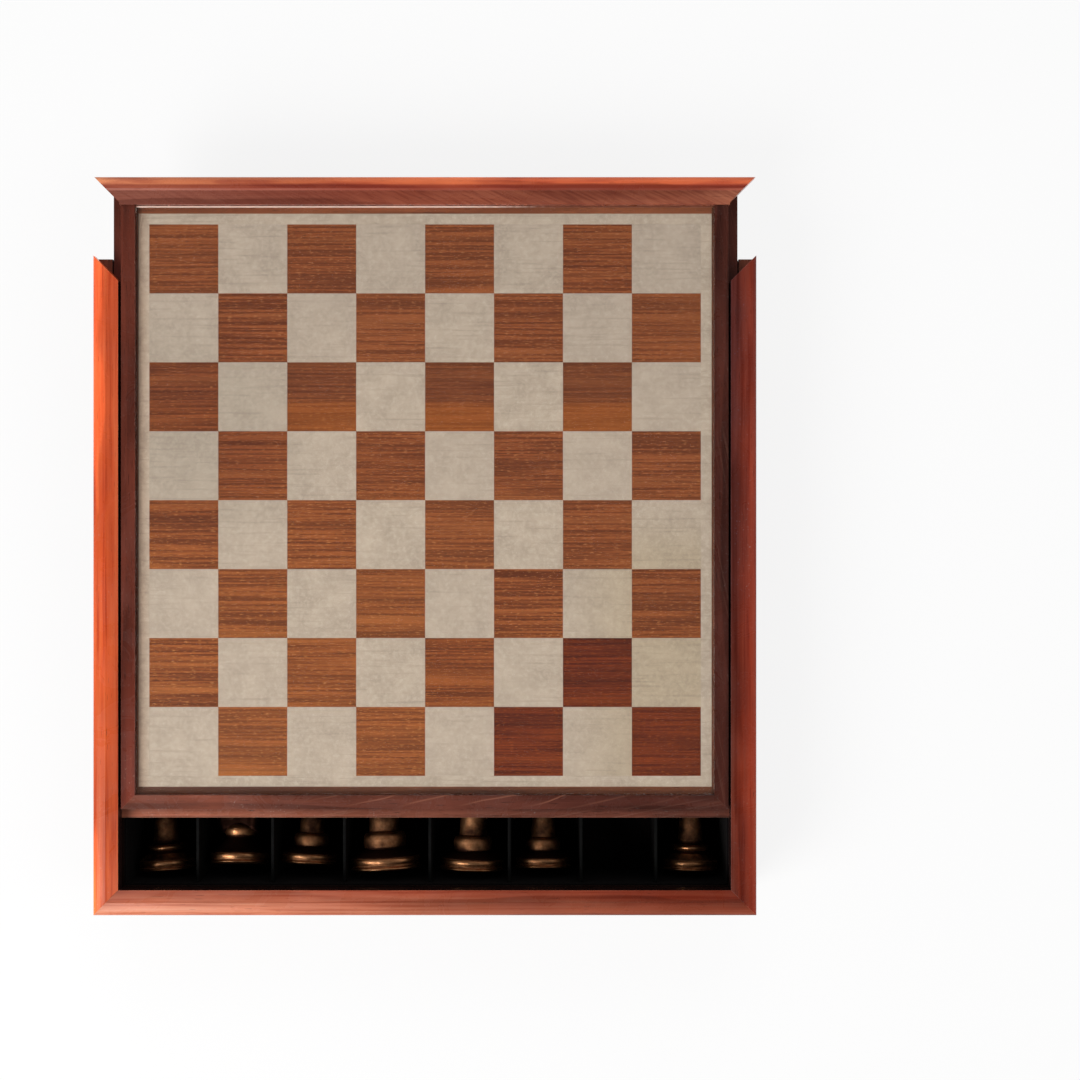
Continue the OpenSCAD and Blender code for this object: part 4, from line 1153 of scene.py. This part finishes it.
glass, shader, own = new_material("sheet glass")
dress(shader, Roughness=group_node(own.tree, HANDLED, Vector=own, Clean=0.0, Dull=0.06)["Roughness"],
      Base_Color=(0.97, 0.985, 0.98, 1), Transmission_Weight=1.0, IOR=1.5)
clear = put(own.tree, "ShaderNodeBsdfTransparent", Color=(0.95, 0.97, 0.96, 1))
for_lamps = put(own.tree, "ShaderNodeLightPath", out="Is Shadow Ray")
surfaced(own.tree, for_lamps, Wire(shader.outputs[0]), clear)

# Its rear edge is ground to a wide matt chamfer, painted with a highlight: near white at the left, fading to dark
# brown towards the right
ground, shader, own = new_material("ground glass edge")
grit = own.noise(400.0, 3.0)
highlight_fade = (own.axis("X") + grit * (40 * MM)).ranged(45 * MM, 105 * MM)
dress(shader, Base_Color=tinted(highlight_fade, (1.0, 0.80, 0.68), (0.20, 0.068, 0.04)),
      Roughness=grit.ranged(0.3, 0.7, 0.5, 0.8))

LIFT = 0.04 * MM  # keeps the lower face off the veneer's
GROUND_W = 0.75 * MM
glass_low, glass_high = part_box("glass_sheet")
pane = ease(merged_copy("glass_sheet"), 0.35 * MM)
for vert in pane.verts:
    vert.co.z = max(vert.co.z, glass_low.z + LIFT)
    if vert.co.y > glass_high.y - 0.5 * MM and vert.co.z > glass_high.z - 0.1 * MM:
        vert.co.y -= GROUND_W
pane_mesh = settled(pane, "glass_pane", "board_top", glass, "glass_sheet").data
pane_mesh.materials.append(ground)
for face in pane_mesh.polygons:
    at_rear = face.center.y > glass_high.y - 2 * GROUND_W
    if at_rear and 0.05 < face.normal.z < 0.9995:  # the slanting faces between the edge and the top
        face.material_index = 1

# ---- Stage ----
# A pale floor, a wide soft light from the left and a bright surround, seen from straight above.

FLOOR_SIDE = 6
floor_mesh = bpy.data.meshes.new("floor")
corners = [(x * FLOOR_SIDE, y * FLOOR_SIDE, 0) for x, y in ((-1, -1), (1, -1), (1, 1), (-1, 1))]
floor_mesh.from_pydata(corners, [], [(0, 1, 2, 3)])
floor = linked("floor", floor_mesh)
floor.location.z = -0.2 * MM
paper, shader, own = new_material("pale floor")
dress(shader, Base_Color=(0.92, 0.92, 0.92, 1), Roughness=0.9, Specular_IOR_Level=0.1)
camera_ray, glossy_ray, clear_ray = (put(own.tree, "ShaderNodeLightPath", out=f"Is {ray} Ray")
                                     for ray in ("Camera", "Glossy", "Transmission"))
PAPER_WHITE = 0.84  # share of plain white in the floor as it is seen, which leaves its shadows faint
seen = (camera_ray + glossy_ray).calc("ADD", clear_ray, clamp=True)
white = put(own.tree, "ShaderNodeEmission", Strength=1.0)
surfaced(own.tree, seen * PAPER_WHITE, Wire(shader.outputs[0]), white)
floor_mesh.materials.append(paper)


def lamp(name, size, place, aim, power):
    data = bpy.data.lights.new(name, "AREA")
    data.shape, data.size, data.energy = "DISK", size, power
    made = linked(name, data)
    made.location = place
    made.rotation_euler = (Vector(aim) - Vector(place)).to_track_quat("-Z", "Y").to_euler()
    return made


lamp("window", 1.3, (-1.2, -1.1, 1.45), (0, 0, 0.05), 37)
lamp("right fill", 1.8, (1.7, -0.4, 1.7), (0, 0, 0), 12).visible_glossy = False
lamp("rear fill", 1.6, (0.1, 1.9, 1.5), (0, 0, 0), 11).visible_glossy = False
world = bpy.data.worlds.new("surround")
world.use_nodes = True
upwards = put(world.node_tree, "ShaderNodeTexCoord", out="Generated").axis("Z")
ceiling = upwards.ranged(0.35, 0.95, 0.52, 0.09)
grey = put(world.node_tree, "ShaderNodeCombineColor", ceiling, ceiling, ceiling)
dress(world.node_tree.nodes["Background"], Color=grey)
bpy.context.scene.world = world
bpy.context.scene.view_settings.view_transform = "Standard"

camera_data = bpy.data.cameras.new("overhead")
camera_data.lens, camera_data.sensor_width = 52.7, 36
camera = linked("overhead", camera_data)
camera.location = (0.075, 0.0295, 1.1)
camera.rotation_euler = (0, 0, 0)
bpy.context.scene.camera = camera
